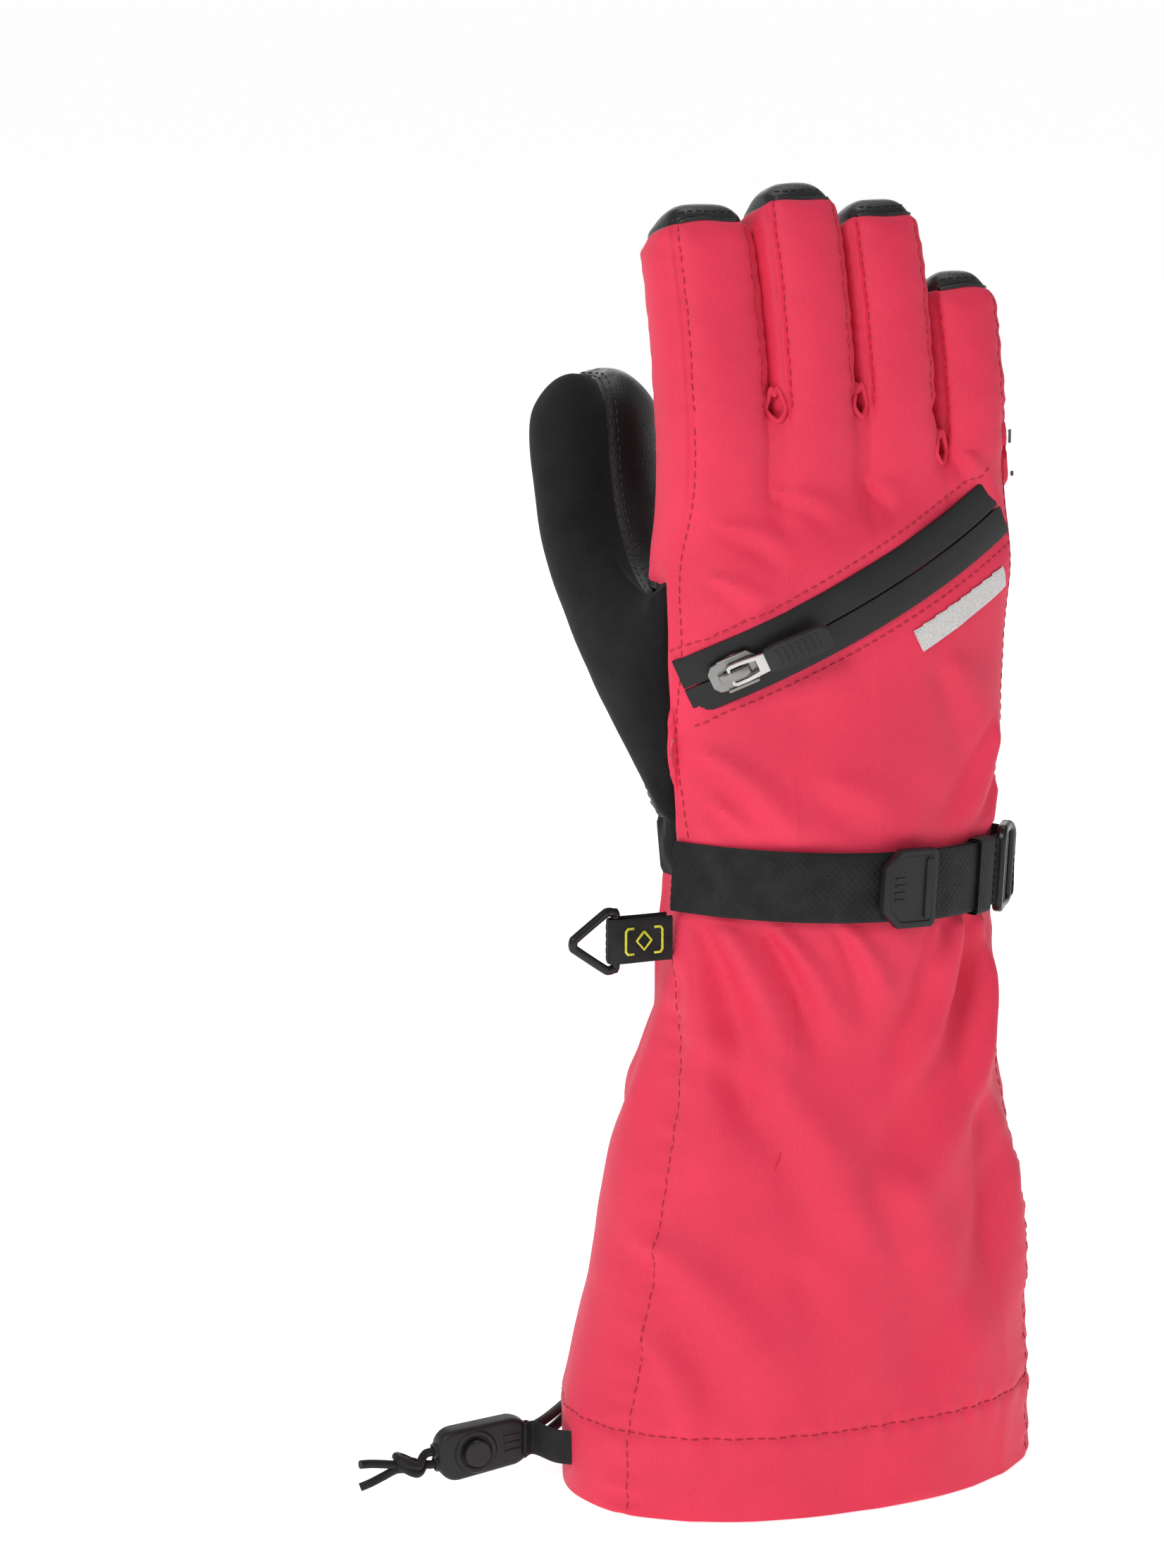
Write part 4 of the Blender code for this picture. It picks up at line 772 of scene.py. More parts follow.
def panel_of(corners):
    """The body, the panel and the cut of cloth of a face, from its corners' places in the block."""
    columns, depths, rows = zip(*(place for place, _ in corners))
    rings = [ring for _, ring in corners]
    low, _ = THUMB_ROWS
    if max(rings):
        around = sum(thumb_cell(*place)[0] for place, _ in corners) / len(corners)
        return ("thumb", "suede", "suede") if around < -0.3 else ("thumb", "leather", "thumb_leather")
    finger = min(min(columns) // (CELLS_WIDE + 1), len(FINGERS) - 1)
    first = finger * (CELLS_WIDE + 1)
    if min(rows) >= root_row(finger) and first <= min(columns) and max(columns) <= first + CELLS_WIDE:
        name = FINGERS[finger][0]
        if min(depths) == CELLS_DEEP or min(rows) >= root_row(finger) + FINGER_ROWS - 2:
            return name, "front", "palm"
        if max(depths) == 0:
            return name, "back", "back"
        at_index = max(columns) == first
        wall = {("index", True): "index_wall", ("little", False): "little_wall"}.get((name, at_index))
        return name, "back", wall or f"between_{finger - at_index}"
    if max(rows) <= WRIST_ROW:
        on_back = max(depths) == 0 or (max(depths) <= 1 and max(columns) - min(columns) == 0)
        return "gauntlet", "gauntlet", "gauntlet_back" if on_back else "gauntlet_palm"
    if min(depths) == CELLS_DEEP:
        return "hand", "palm", "palm"
    if max(columns) == 0 and max(depths) > 0:
        if max(depths) > 1 and max(rows) <= low:
            return "thumb", "suede", "suede"
        return "hand", "back", "index_wall"
    if min(columns) == COLUMNS:
        return "hand", "back", "little_wall"
    return "hand", "back", "back"


def bend(place, ring):
    column, depth_row, row = place
    if ring:
        return thumb_point(column, depth_row, row, ring)
    finger, u = column_place(column)
    above = row - root_row(finger)
    if above > 0:
        return finger_point(finger, u, 2.0 * depth_row / CELLS_DEEP - 1.0, above)
    return body_point(column, depth_row, row)


def bent_block():
    """The block bent to the measures, with each face's panel in its material index."""
    bm, ring_layer = build_block()
    grid = {v: (tuple(round(c) for c in v.co), v[ring_layer]) for v in bm.verts}
    for face in bm.faces:
        tag = panel_of([grid[v] for v in face.verts])
        if tag not in PANELS:
            PANELS.append(tag)
        face.material_index = PANELS.index(tag)
    for vert, (place, ring) in grid.items():
        vert.co = bend(place, ring)
    bmesh.ops.recalc_face_normals(bm, faces=bm.faces)
    if bm.calc_volume(signed=True) < 0:
        bmesh.ops.reverse_faces(bm, faces=bm.faces)
    crease = bm.edges.layers.float.new("crease_edge")
    for edge in bm.edges:
        tags = {PANELS[f.material_index][2] for f in edge.link_faces}
        if len(tags) == 2:
            edge[crease] = 0.35
    mesh = bpy.data.meshes.new("block")
    bm.to_mesh(mesh)
    bm.free()
    return mesh


def rounded(mesh, levels):
    """The mesh after a Subdivision Surface modifier."""
    holder = bpy.data.objects.new("rounding", mesh)
    bpy.context.scene.collection.objects.link(holder)
    step = holder.modifiers.new("round", "SUBSURF")
    step.levels = step.render_levels = levels
    step.boundary_smooth = "PRESERVE_CORNERS"
    done = bpy.data.meshes.new_from_object(holder.evaluated_get(bpy.context.evaluated_depsgraph_get()))
    bpy.data.objects.remove(holder)
    return done


def held_out(mesh, rounds=3):
    """Push the block's corners out until the rounded skin passes through the places they were bent to."""
    aim = positions(mesh)
    for _ in range(rounds):
        now = positions(rounded(mesh, 2))[:len(aim)]
        mesh.vertices.foreach_set("co", (positions(mesh) + 0.9 * (aim - now)).ravel())
        mesh.update()
    miss = float(np.linalg.norm(aim - now, axis=1).max())
    print("rounding moves a corner by", round(miss, 2), "mm at most")
    return mesh


def positions(mesh):
    out = np.empty(len(mesh.vertices) * 3)
    mesh.vertices.foreach_get("co", out)
    return out.reshape(-1, 3)


block = held_out(bent_block())
skin = rounded(block, 3)
print("block", len(block.polygons), "faces; skin", len(skin.polygons), "faces; panels", len(PANELS))
for tag in PANELS:
    print("  ", tag)

# %% [markdown]
# ## Sculpting in code
# The padding swells between the seams and each seam pulls a groove. The gauntlet has no padding, so it
# falls in long folds from the strap, and elastic gathers the palm side of the wrist. Every move is along
# the surface's own normal, so one table of folds can be read like a pattern-maker's notes.

# %% Read the skin into arrays
def normals_of(mesh):
    out = np.empty(len(mesh.vertices) * 3)
    mesh.vertex_normals.foreach_get("vector", out)
    return out.reshape(-1, 3)


def ease(low, high, values):
    t = np.clip((values - low) / (high - low), 0.0, 1.0)
    return t * t * (3.0 - 2.0 * t)


def seam_edges(mesh):
    """Each seam edge's two vertices, the two cuts of cloth that it joins, and their bodies."""
    bm = bmesh.new()
    bm.from_mesh(mesh)
    found = []
    for edge in bm.edges:
        cuts = tuple(sorted({PANELS[f.material_index][2] for f in edge.link_faces}))
        if len(cuts) == 2:
            owners = {PANELS[f.material_index][0] for f in edge.link_faces}
            found.append((edge.verts[0].index, edge.verts[1].index, cuts, owners))
    bm.free()
    return found


SEAMS = seam_edges(skin)
NO_GROOVE = {("back", "gauntlet_back"), ("index_wall", "little_wall")}


def distance_to(points, places):
    tree = KDTree(len(places))
    for index, place in enumerate(places):
        tree.insert(place, index)
    tree.balance()
    return np.array([tree.find(p)[2] for p in points])


start_co, start_normal = positions(skin), normals_of(skin)
grooves = sorted({v for a, b, cuts, _ in SEAMS if cuts not in NO_GROOVE for v in (a, b)})
to_seam = distance_to(start_co, start_co[grooves])
print(len(SEAMS), "seam edges,", len(grooves), "vertices on grooves")

# %% Which part of the glove a vertex is on
vertex_tag = np.zeros(len(skin.vertices), dtype=int)
for polygon in skin.polygons:
    vertex_tag[list(polygon.vertices)] = polygon.material_index
on_body = np.array([PANELS[t][0] for t in vertex_tag])
x, y, z = start_co.T
facing_back = ease(-0.1, 0.6, -start_normal[:, 1])
facing_palm = ease(-0.1, 0.6, start_normal[:, 1])
is_finger = np.isin(on_body, [name for name, *_ in FINGERS])
is_thumb = on_body == "thumb"
is_gauntlet = on_body == "gauntlet"
zip_off = (x - ZIP.centre.x) * ZIP.axis.x + (z - ZIP.centre.z) * ZIP.axis.z
zip_along = (x - ZIP.centre.x) * ZIP.along.x + (z - ZIP.centre.z) * ZIP.along.z
beside_band = ease(9.0, 14.0, np.abs(zip_off))
past_band = ease(46.0, 52.0, np.abs(zip_along))
under_band = facing_back * (1.0 - beside_band) * (1.0 - past_band)
strap_off = (x - STRAP.centre.x) * STRAP.axis.x + (z - STRAP.centre.z) * STRAP.axis.z
under_strap = facing_back * (1.0 - ease(9.5, 14.0, np.abs(strap_off)))

# %% Padding and seam grooves
padding = np.select([is_finger, is_thumb, is_gauntlet], [1.5, 1.6, 0.25], 1.4)
groove = np.select([is_finger, is_thumb, is_gauntlet], [0.7, 0.7, 0.45], 0.8)
swell = padding * (1.0 - np.exp(-(to_seam / 5.0) ** 2)) - groove * np.exp(-(to_seam / 1.3) ** 2) + 0.2
swell *= 1.0 - 0.75 * under_band
swell *= 1.0 - 0.6 * under_strap

# %% Folds, as a table: from x, z to x, z on one side, half width, and a depth that FOLD_DEPTH multiplies
FOLD_DEPTH = 1.9
BACK_FOLDS = (
    (-40, 168, -22, 120, 5.0, 1.9), (-26, 166, -8, 132, 3.6, 1.3), (-8, 166, 6, 140, 3.2, 1.0),
    (30, 168, 12, 118, 4.2, 1.5), (38, 164, 34, 108, 3.6, 1.6), (22, 168, 20, 144, 2.6, 0.9),
    (44, 152, 10, 84, 6.5, 1.6), (-44, 150, -50, 92, 5.5, 1.8), (-36, 132, 6, 60, 8.0, 1.3),
    (40, 110, 52, 46, 6.5, 1.5), (-58, 78, -30, 34, 7.0, 1.2), (6, 96, 34, 36, 9.0, 1.1),
    (-16, 74, -4, 30, 8.0, 0.8), (48, 90, 28, 30, 7.0, 0.9), (-62, 52, -52, 26, 4.0, 0.9),
    (-42, 214, -18, 186, 4.0, 1.2), (-40, 200, -28, 186, 2.8, 0.9), (-12, 206, 18, 184, 6.0, 0.8),
    (44, 214, 30, 186, 4.0, 1.0), (46, 198, 40, 184, 2.6, 0.9), (26, 236, 44, 206, 6.0, 0.7),
    (-44, 246, -24, 232, 3.0, 0.7), (-42, 262, -26, 252, 2.6, 0.7), (-40, 276, -20, 268, 2.6, 0.6),
    (34, 292, 44, 268, 3.2, 0.8), (-24, 284, -6, 278, 2.4, 0.5), (4, 286, 14, 280, 2.4, 0.5),
)
PALM_FOLDS = (
    (-34, 164, -48, 96, 5.0, 2.0), (-18, 162, -24, 104, 4.4, 1.8), (0, 162, 2, 96, 4.8, 1.9),
    (16, 162, 26, 110, 4.2, 1.6), (32, 162, 46, 100, 4.8, 1.9), (-42, 110, -52, 44, 7.0, 1.5),
    (-10, 110, -18, 50, 8.0, 1.3), (20, 106, 36, 44, 8.0, 1.3), (44, 96, 56, 40, 6.0, 1.2),
    (2, 84, 10, 34, 8.0, 0.9), (-30, 80, -34, 34, 6.0, 0.8),
    (-10, 262, 30, 250, 4.0, 1.0), (-4, 244, 34, 230, 5.0, 1.1), (8, 212, 14, 190, 3.4, 0.9),
    (30, 210, 34, 188, 3.0, 0.9), (-4, 206, -6, 188, 2.6, 0.8), (40, 250, 44, 220, 4.0, 0.8),
)


def folds(rows, side):
    """The height of all folds of one side: a soft ridge with a valley beside it, fading at both ends."""
    total = np.zeros(len(x))
    for x0, z0, x1, z1, width, depth in rows:
        run, rise = x1 - x0, z1 - z0
        length = math.hypot(run, rise)
        along = ((x - x0) * run + (z - z0) * rise) / length ** 2
        off = ((x - x0) * rise - (z - z0) * run) / length + 0.06 * length * np.sin(along * math.pi)
        reach = width * (0.55 + 0.9 * np.clip(along, 0.0, 1.0))
        fade = ease(-0.12, 0.12, along) * (1.0 - ease(0.70, 1.12, along))
        ridge = np.exp(-(off / reach) ** 2) - 0.75 * np.exp(-((off - 1.7 * reach) / (0.8 * reach)) ** 2)
        total += FOLD_DEPTH * depth * ridge * fade
    return total * side


calm = (1.0 - under_band) * (1.0 - 0.8 * under_strap) * (1.0 - 0.85 * is_thumb) * (1.0 - is_finger)
calm *= 1.0 - 0.75 * (1.0 - ease(10.0, 30.0, z))
fold_height = (folds(BACK_FOLDS, facing_back) + folds(PALM_FOLDS, facing_palm)) * calm

# %% Gathers at the wrist, on the palm side, and puckers along the hem and the side seams
around = np.arctan2(y + 4.0, x)
gather = np.exp(-((z - 170.0) / 9.0) ** 2) * (0.9 * facing_palm + 0.15) * (1.0 - facing_back)
waver = 0.7 * np.sin(x * 0.31 + 0.8) + 0.5 * np.sin(x * 0.173)
pleats = 1.25 * gather * (np.sin(x * 1.02 + waver) + 0.35 * np.sin(x * 2.1 + 1.0)) - 2.2 * gather
over_hem = z - HEM_HEIGHT
hem_wave = np.sin(np.degrees(around) * 0.62 + np.sin(around * 7.0))
hem_pucker = 0.42 * np.exp(-(over_hem / 4.5) ** 2) * hem_wave - 0.45 * np.exp(-(over_hem / 1.3) ** 2)
side = np.exp(-(to_seam / 5.0) ** 2) * is_gauntlet
side_pucker = 0.5 * side * np.sin(z * 0.75 + np.sin(z * 0.19) * 2.0) * (1.0 - ease(150.0, 165.0, z))
finger_wave = np.sin(z * 0.95 + x * 0.4 + np.sin(z * 0.31) * 1.5)
finger_pucker = 0.32 * np.exp(-(to_seam / 4.5) ** 2) * is_finger * finger_wave


def undulation(scale, places, offset):
    shift = Vector((offset, offset * 0.7, -offset))
    return np.array([noise.noise(Vector(p) * scale + shift) for p in places])


broad = undulation(0.028, start_co, 3.1)
fine = undulation(0.11, start_co, 7.7)
rough = 1.3 * broad * is_gauntlet + 0.5 * broad * (~is_gauntlet) + 0.22 * fine
rough *= (1.0 - under_band) * (1.0 - 0.7 * under_strap)
height = swell + fold_height + pleats + hem_pucker + side_pucker + finger_pucker + rough
height = np.where(z < 1.0, np.minimum(height, 0.6), height)
moved = start_co + start_normal * height[:, None]
moved[:, 2] = np.where(z < 0.6, z, np.maximum(moved[:, 2], 0.0))

# %% Keep the moved skin
skin.vertices.foreach_set("co", moved.ravel())
skin.update()
skin_normal = normals_of(skin)
print("moved up to", round(float(np.abs(height).max()), 2), "mm")

# %% [markdown]
# ## Cut the skin into sewn pieces
# One surface is cut by panel, so neighbours share their edge exactly. Each piece then gets its own
# thickness inwards.

# %% Keep linings under the skin
skin_places = [v.co.copy() for v in skin.vertices]
SKIN_TREE = BVHTree.FromPolygons(skin_places, [list(p.vertices) for p in skin.polygons])


def is_covered(place, outward, least=1.3, reach=8.0):
    """Whether a place lies under the skin: well inside its nearest point, and with skin over it."""
    found, normal, _, _ = SKIN_TREE.find_nearest(place)
    over, over_normal, _, _ = SKIN_TREE.ray_cast(place, outward, reach)
    return (place - found).dot(normal) < -least and over is not None and over_normal.dot(outward) > 0.0


def drop_scraps(bm, least=600):
    """Delete the islands of a bmesh that have fewer faces than wanted."""
    seen, scraps = set(), []
    for face in bm.faces:
        if face in seen:
            continue
        island, queue = [], [face]
        seen.add(face)
        while queue:
            here = queue.pop()
            island.append(here)
            for other in (o for edge in here.edges for o in edge.link_faces if o not in seen):
                seen.add(other)
                queue.append(other)
        if len(island) < least:
            scraps += island
    bmesh.ops.delete(bm, geom=scraps, context="FACES")


# %% The panel cutter
def cut_panel(wanted, thickness, depth=0.0, where=None):
    """A closed bmesh of the skin's faces whose body and panel are wanted, thickened inwards from a depth."""
    bm = bmesh.new()
    bm.from_mesh(skin)
    layer = bm.verts.layers.float_vector.new("inward")
    for vert in bm.verts:
        vert[layer] = -Vector(skin_normal[vert.index])
    keep = {i for i, (body, panel, _) in enumerate(PANELS) if (body, panel) in wanted}
    out = [f for f in bm.faces
           if f.material_index not in keep or (where and not where(f.calc_center_median()))]
    bmesh.ops.delete(bm, geom=out, context="FACES")
    for vert in bm.verts:
        vert.co += vert[layer] * depth
    if depth:
        stray = [v for v in bm.verts if not is_covered(v.co + v[layer] * thickness / 2, -v[layer])]
        bmesh.ops.delete(bm, geom=stray, context="VERTS")
        drop_scraps(bm)
    for face in bm.faces:
        face.material_index = 0
    inside = bm.verts[:]
    doubled(bm)
    for vert in inside:
        vert.co += vert[layer] * thickness
    return bm


def plane_start(finger):
    """Two points for a finger: just above the sloping plane of its root, and a little further up."""
    name, _, length, middle_y, level = FINGERS[finger]
    palm_z, back_z = CROTCH[level]
    slope = (back_z - palm_z) / FINGER_DEPTH
    normal = Vector((0.0, slope, 1.0)).normalized()
    hinge = Vector((CENTRES[finger], middle_y + FINGER_DEPTH / 2, palm_z))
    return hinge + normal * 1.2, hinge + normal * 24.0


def soft_piece(name, wanted, thickness, finish, stands_for, body=None, bends=None):
    made = piece(name, cut_panel(wanted, thickness), FINISH[finish], body, stands_for)
    cloth_map(made.data)
    if bends:
        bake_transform(made)
    return made


# %% Linings follow the skin from inside
def lining_piece(name, wanted, depth, thickness, stands_for, body=None, bends=None,
                 finish="lining", where=None):
    made = piece(name, cut_panel(wanted, thickness, depth, where), FINISH[finish], body, stands_for)
    if bends:
        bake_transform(made)
    return made


# %% Cut the hand and the fingers
SHELL_THICK, LEATHER_THICK = 0.9, 1.0
LINER_DEPTH, LINER_THICK = 1.5, 0.9
soft_piece("hand_softshell", {("hand", "back")}, SHELL_THICK, "softshell",
           ("hand_back_panel", "hand_index_side", "hand_little_side"), body="hand")
soft_piece("palm_leather_panel", {("hand", "palm")}, LEATHER_THICK, "leather",
           ("palm_leather",), body="hand")
for number, (finger_name, *_) in enumerate(FINGERS):
    start, end = plane_start(number)
    bends = (f"{finger_name}_finger", start, end)
    nodes = [f"{finger_name}_{part}" for part in ("back", "side_a", "side_b")]
    soft_piece(f"{finger_name}_softshell", {(finger_name, "back")}, SHELL_THICK, "softshell",
               nodes, bends=bends)
    soft_piece(f"{finger_name}_leather", {(finger_name, "front")}, LEATHER_THICK, "leather",
               (f"{finger_name}_front",), bends=bends)
    lining_piece(f"{finger_name}_lining", {(finger_name, "back"), (finger_name, "front")}, LINER_DEPTH,
                 LINER_THICK, (f"{finger_name}_liner",), bends=bends)
lining_piece("hand_lining", {("hand", "back"), ("hand", "palm")}, LINER_DEPTH, LINER_THICK,
             ("hand_liner",), body="hand")
lining_piece("gauntlet_inner_lining", {("gauntlet", "gauntlet")}, 1.1, 0.6, ("gauntlet_lining",), body="hand")
lining_piece("wrist_elastic_band", {("gauntlet", "gauntlet")}, 1.9, 0.7, ("wrist_elastic",), body="hand",
             finish="elastic",
             where=lambda middle: 157.0 < middle.z < 174.0 and middle.y > 2.0)

# %% Cut the thumb, with two points on its line at the ring where it stops blending into the hand
thumb_straight = 1.0 - THUMB_TIP_ROUND / (THUMB_TIP - thumb_base()).length
bend_share = thumb_straight * THUMB_SPLIT / (THUMB_RINGS - 3)
bend_place, _, _, bend_heading = thumb_frame(bend_share)
thumb_bends = ("thumb", bend_place - bend_heading * 9.0, bend_place + bend_heading * 9.0)
for hide in ("suede", "leather"):
    soft_piece(f"thumb_{hide}_panel", {("thumb", hide)}, LEATHER_THICK, hide,
               (f"thumb_base_{hide}", f"thumb_{hide}"), bends=thumb_bends)
lining_piece("thumb_lining", {("thumb", "suede"), ("thumb", "leather")}, LINER_DEPTH, LINER_THICK,
             ("thumb_liner",), bends=thumb_bends)

# %% The gauntlet is a sewn sleeve of unpadded cloth
gauntlet = soft_piece("gauntlet_sleeve", {("gauntlet", "gauntlet")}, 0.7, "softshell",
                      ("gauntlet_back", "gauntlet_palm"), body="hand")

# %% Finishes for the CAD solids that stay
KEPT = {"pocket_bag": "lining", "hem_channel": "softshell", "hem_drawcord": "cord"}
for kept_name, kept_finish in KEPT.items():
    data = frame["nodes"][kept_name].data
    data.materials.clear()
    data.materials.append(FINISH[kept_finish])
print("kept from the CAD:", ", ".join(KEPT))

# %% [markdown]
# ## Thread
# Sewn cloth is read by its stitches. A stitch is a short bead of thread that dips into the cloth at both
# ends. It could be painted on, but beads of real geometry catch the light, so a small sphere is stretched
# and copied along each seam, set over by a measured distance and laid on the surface.

# %% Find the surface and the seams
THIN_FOLD = 3.0      # cloth this close behind a stitch means a fold too thin to sew
FACE_CUT = [PANELS[p.material_index][2] for p in skin.polygons]


def snap(place, lift=0.0):
    """The surface's point nearest to a place, lifted along its normal, and that normal."""
    found, normal, face, _ = SKIN_TREE.find_nearest(Vector(place))
    return found + normal * lift, normal, FACE_CUT[face]


def runs(cuts, bodies=None):
    """Unbroken runs of seam points between the wanted cuts, on the wanted bodies."""
    links = {}
    for a, b, pair, owners in SEAMS:
        if pair not in cuts or (bodies and not owners <= set(bodies)):
            continue
        links.setdefault(a, set()).add(b)
        links.setdefault(b, set()).add(a)
    order = sorted(links, key=lambda v: [round(float(c), 3) for c in (moved[v][2], moved[v][0], moved[v][1])])
    found, used = [], set()
    for start in [v for v in order if len(links[v]) != 2] + order:
        for step in sorted(links[start], key=lambda v: [round(float(c), 3) for c in moved[v]]):
            if frozenset((start, step)) in used:
                continue
            run, before, here = [start, step], start, step
            used.add(frozenset((start, step)))
            while len(links[here]) == 2:
                ahead = next(v for v in links[here] if v != before)
                if frozenset((here, ahead)) in used:
                    break
                used.add(frozenset((here, ahead)))
                run.append(ahead)
                before, here = here, ahead
            found.append([Vector(moved[v]) for v in run])
    return [run for run in found if sum((b - a).length for a, b in zip(run, run[1:])) > 5.0]


def spaced(points, step):
    """Points at even steps along a line."""
    out, want, gone = [], step / 2, 0.0
    for a, b in zip(points, points[1:]):
        length = (b - a).length
        while length > 0 and want <= gone + length:
            out.append(a.lerp(b, (want - gone) / length))
            want += step
        gone += length
    return out


def beside(run, towards, offset):
    """A seam's run moved over the surface by an offset, onto the wanted cut of cloth."""
    line, votes = spaced(run, 1.2), 0
    sides = []
    for before, after in zip(line, line[1:]):
        middle = (before + after) / 2
        _, normal, _ = snap(middle)
        across = normal.cross(after - before).normalized()
        sides.append((middle, across))
        votes += (snap(middle + across * 1.8)[2] in towards) - (snap(middle - across * 1.8)[2] in towards)
    sign = 1.0 if votes >= 0 else -1.0
    return [snap(middle + across * offset * sign)[0] for middle, across in sides]


def add_stitches(bm, line, pitch=2.9, length=2.2, thick=0.5, lift=0.1):
    """Beads of thread along a line of points on the surface."""
    for place in spaced(line, pitch):
        at = min(range(len(line)), key=lambda i: (line[i] - place).length_squared)
        heading = line[min(at + 1, len(line) - 1)] - line[max(at - 1, 0)]
        if heading.length < 1e-6:
            continue
        spot, normal, _ = snap(place, lift)
        if SKIN_TREE.ray_cast(spot - normal * 0.4, -normal, THIN_FOLD)[0]:
            continue
        side = normal.cross(heading).normalized()
        up = side.cross(heading).normalized() * -1.0
        turn = Matrix((heading.normalized(), side, up)).transposed().to_4x4()
        lay = Matrix.Translation(spot) @ turn @ Matrix.Diagonal((length / 2, thick / 2, thick / 2, 1.0))
        bmesh.ops.create_uvsphere(bm, u_segments=6, v_segments=4, radius=1.0,
                                  matrix=lay @ Matrix.Rotation(math.radians(90), 4, "Y"))


def thread_piece(name, lines, finish, slot, body=None, bends=None, **size):
    bm = bmesh.new()
    for line in lines:
        add_stitches(bm, line, **size)
    made = piece(name, bm, FINISH[finish], body, sharp=180.0)
    if bends:
        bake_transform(made)


# %% Sew the fingers
BACKS = {"back"}
for number, (finger_name, *_) in enumerate(FINGERS):
    start, end = plane_start(number)
    bends = (f"{finger_name}_finger", start, end)
    walls = [("back", f"between_{number - 1}"), ("back", f"between_{number}"), ("back", "index_wall"),
             ("back", "little_wall")]
    lines = [beside(run, BACKS, 1.5) for run in runs(cuts=walls, bodies=[finger_name])]
    thread_piece(f"{finger_name}_stitches", lines, "pink_thread", "softshell", bends=bends)
    tip = runs(cuts=[("back", "palm")], bodies=[finger_name])
    lines = [beside(run, {"palm"}, offset) for run in tip for offset in (1.3, 3.2)]
    thread_piece(f"{finger_name}_leather_stitches", lines, "black_thread", "leather", bends=bends,
                 pitch=2.4, length=1.8, thick=0.36)
    tubes = [swept([snap(p, 0.15)[0] for p in spaced(run, 1.5)], 1.3) for run in tip]
    piping = piece(f"{finger_name}_piping", join(*tubes), FINISH["leather"], None, sharp=180.0)
    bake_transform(piping)

# %% The little folded loops where two fingers part, on both sides
FOLD_LOOP = ((0.0, -2.2), (1.9, 0.4), (1.5, 3.4), (0.7, 6.4),
             (0.0, 4.4), (-0.7, 6.4), (-1.5, 3.4), (-1.9, 0.4))
for gap in range(len(FINGERS) - 1):
    middle_x = (CENTRES[gap] + FINGERS[gap][1] / 2 + CENTRES[gap + 1] - FINGERS[gap + 1][1] / 2) / 2
    level = "low" if "low" in (FINGERS[gap][4], FINGERS[gap + 1][4]) else "high"
    palm_z, back_z = CROTCH[level]
    for side_name, turn, level_z in (("back", -1.0, back_z - 1.0), ("palm", 1.0, palm_z - 1.0)):
        path = []
        for px, pz in FOLD_LOOP:
            outside = Vector((middle_x + px * 1.25, turn * 60.0, level_z + pz))
            hit = SKIN_TREE.ray_cast(outside, Vector((0.0, -turn, 0.0)))[0]
            path.append((hit or Vector((middle_x, 0.0, level_z))) + Vector((0.0, turn * 0.15, 0.0)))
        path = [Vector((p.x, min(path[0].y + 2.5, max(path[0].y - 2.5, p.y)), p.z)) for p in path]
        folded = swept(spline_through(path, 4, cyclic=True), 1.5, cyclic=True)
        piece(f"crotch_fold_{side_name}_{gap + 1}", folded, FINISH["softshell"], "hand",
              sharp=180.0)

# %% Sew the hand
hand_lines = [beside(run, BACKS, 1.6) for wall in ("index_wall", "little_wall")
              for run in runs(cuts=[("back", wall)], bodies=["hand"])]
thread_piece("hand_stitches", hand_lines, "pink_thread", "softshell", body="hand")
palm_runs = runs(cuts=[(wall, "palm") for wall in ("index_wall", "little_wall", "gauntlet_palm")],
                 bodies=["hand", "gauntlet"])
palm_lines = [beside(run, {"palm"}, offset) for offset in (1.4, 3.4) for run in palm_runs]
thread_piece("palm_stitches", palm_lines, "black_thread", "leather", body="hand",
             pitch=2.6, length=1.9, thick=0.36)
thumb_runs = runs(cuts=[("suede", "thumb_leather")], bodies=["thumb"])
thumb_lines = [beside(run, {"thumb_leather"}, offset) for offset in (1.4, 3.2) for run in thumb_runs]
thumb_lines += [beside(run, {"palm"}, 1.6) for run in runs(cuts=[("palm", "thumb_leather")])]
thread_piece("thumb_stitches", thumb_lines, "black_thread", "leather", bends=thumb_bends,
             pitch=2.6, length=1.9, thick=0.36)

# %% Sew the gauntlet's hem and side seams, and the two rows beside the zip
def ring_line(height, count=400, reach=90.0):
    """A level line round the outside of the gauntlet."""
    line = []
    for step in range(count + 1):
        turn = 2 * math.pi * step / count
        out = Vector((-5.0 + reach * math.cos(turn), reach * math.sin(turn), height))
        hit = SKIN_TREE.ray_cast(out, Vector((-5.0, 0.0, height)) - out)[0]
        if hit:
            line.append(hit)
    return line


gauntlet_lines = [ring_line(HEM_HEIGHT)]
gauntlet_lines += [beside(run, {"gauntlet_back"}, 1.8)
                   for run in runs(cuts=[("gauntlet_back", "gauntlet_palm")], bodies=["gauntlet"])]
thread_piece("gauntlet_stitches", gauntlet_lines, "pink_thread", "softshell", body="hand",
             pitch=3.1, length=2.4)
zip_lines, zip_row = [], TAPE_WIDTH / 2 + 2.8
for off in (-zip_row, zip_row):
    places = [ZIP.at(math.radians(a / 4), off, 0.0) for a in range(-31 * 4, 29 * 4)]
    zip_lines.append([snap(p)[0] for p in places])
thread_piece("zip_row_stitches", zip_lines, "pink_thread", "softshell", body="hand", pitch=2.7, length=2.0)

# %% [markdown]
# ## Hard and flat parts
# Webbing, plastic and metal keep their shape, so they are modelled directly. A flat outline is extruded and
# bevelled for moulded parts. A ribbed band starts as a grid, gets its thickness, and is wrapped on its arc.

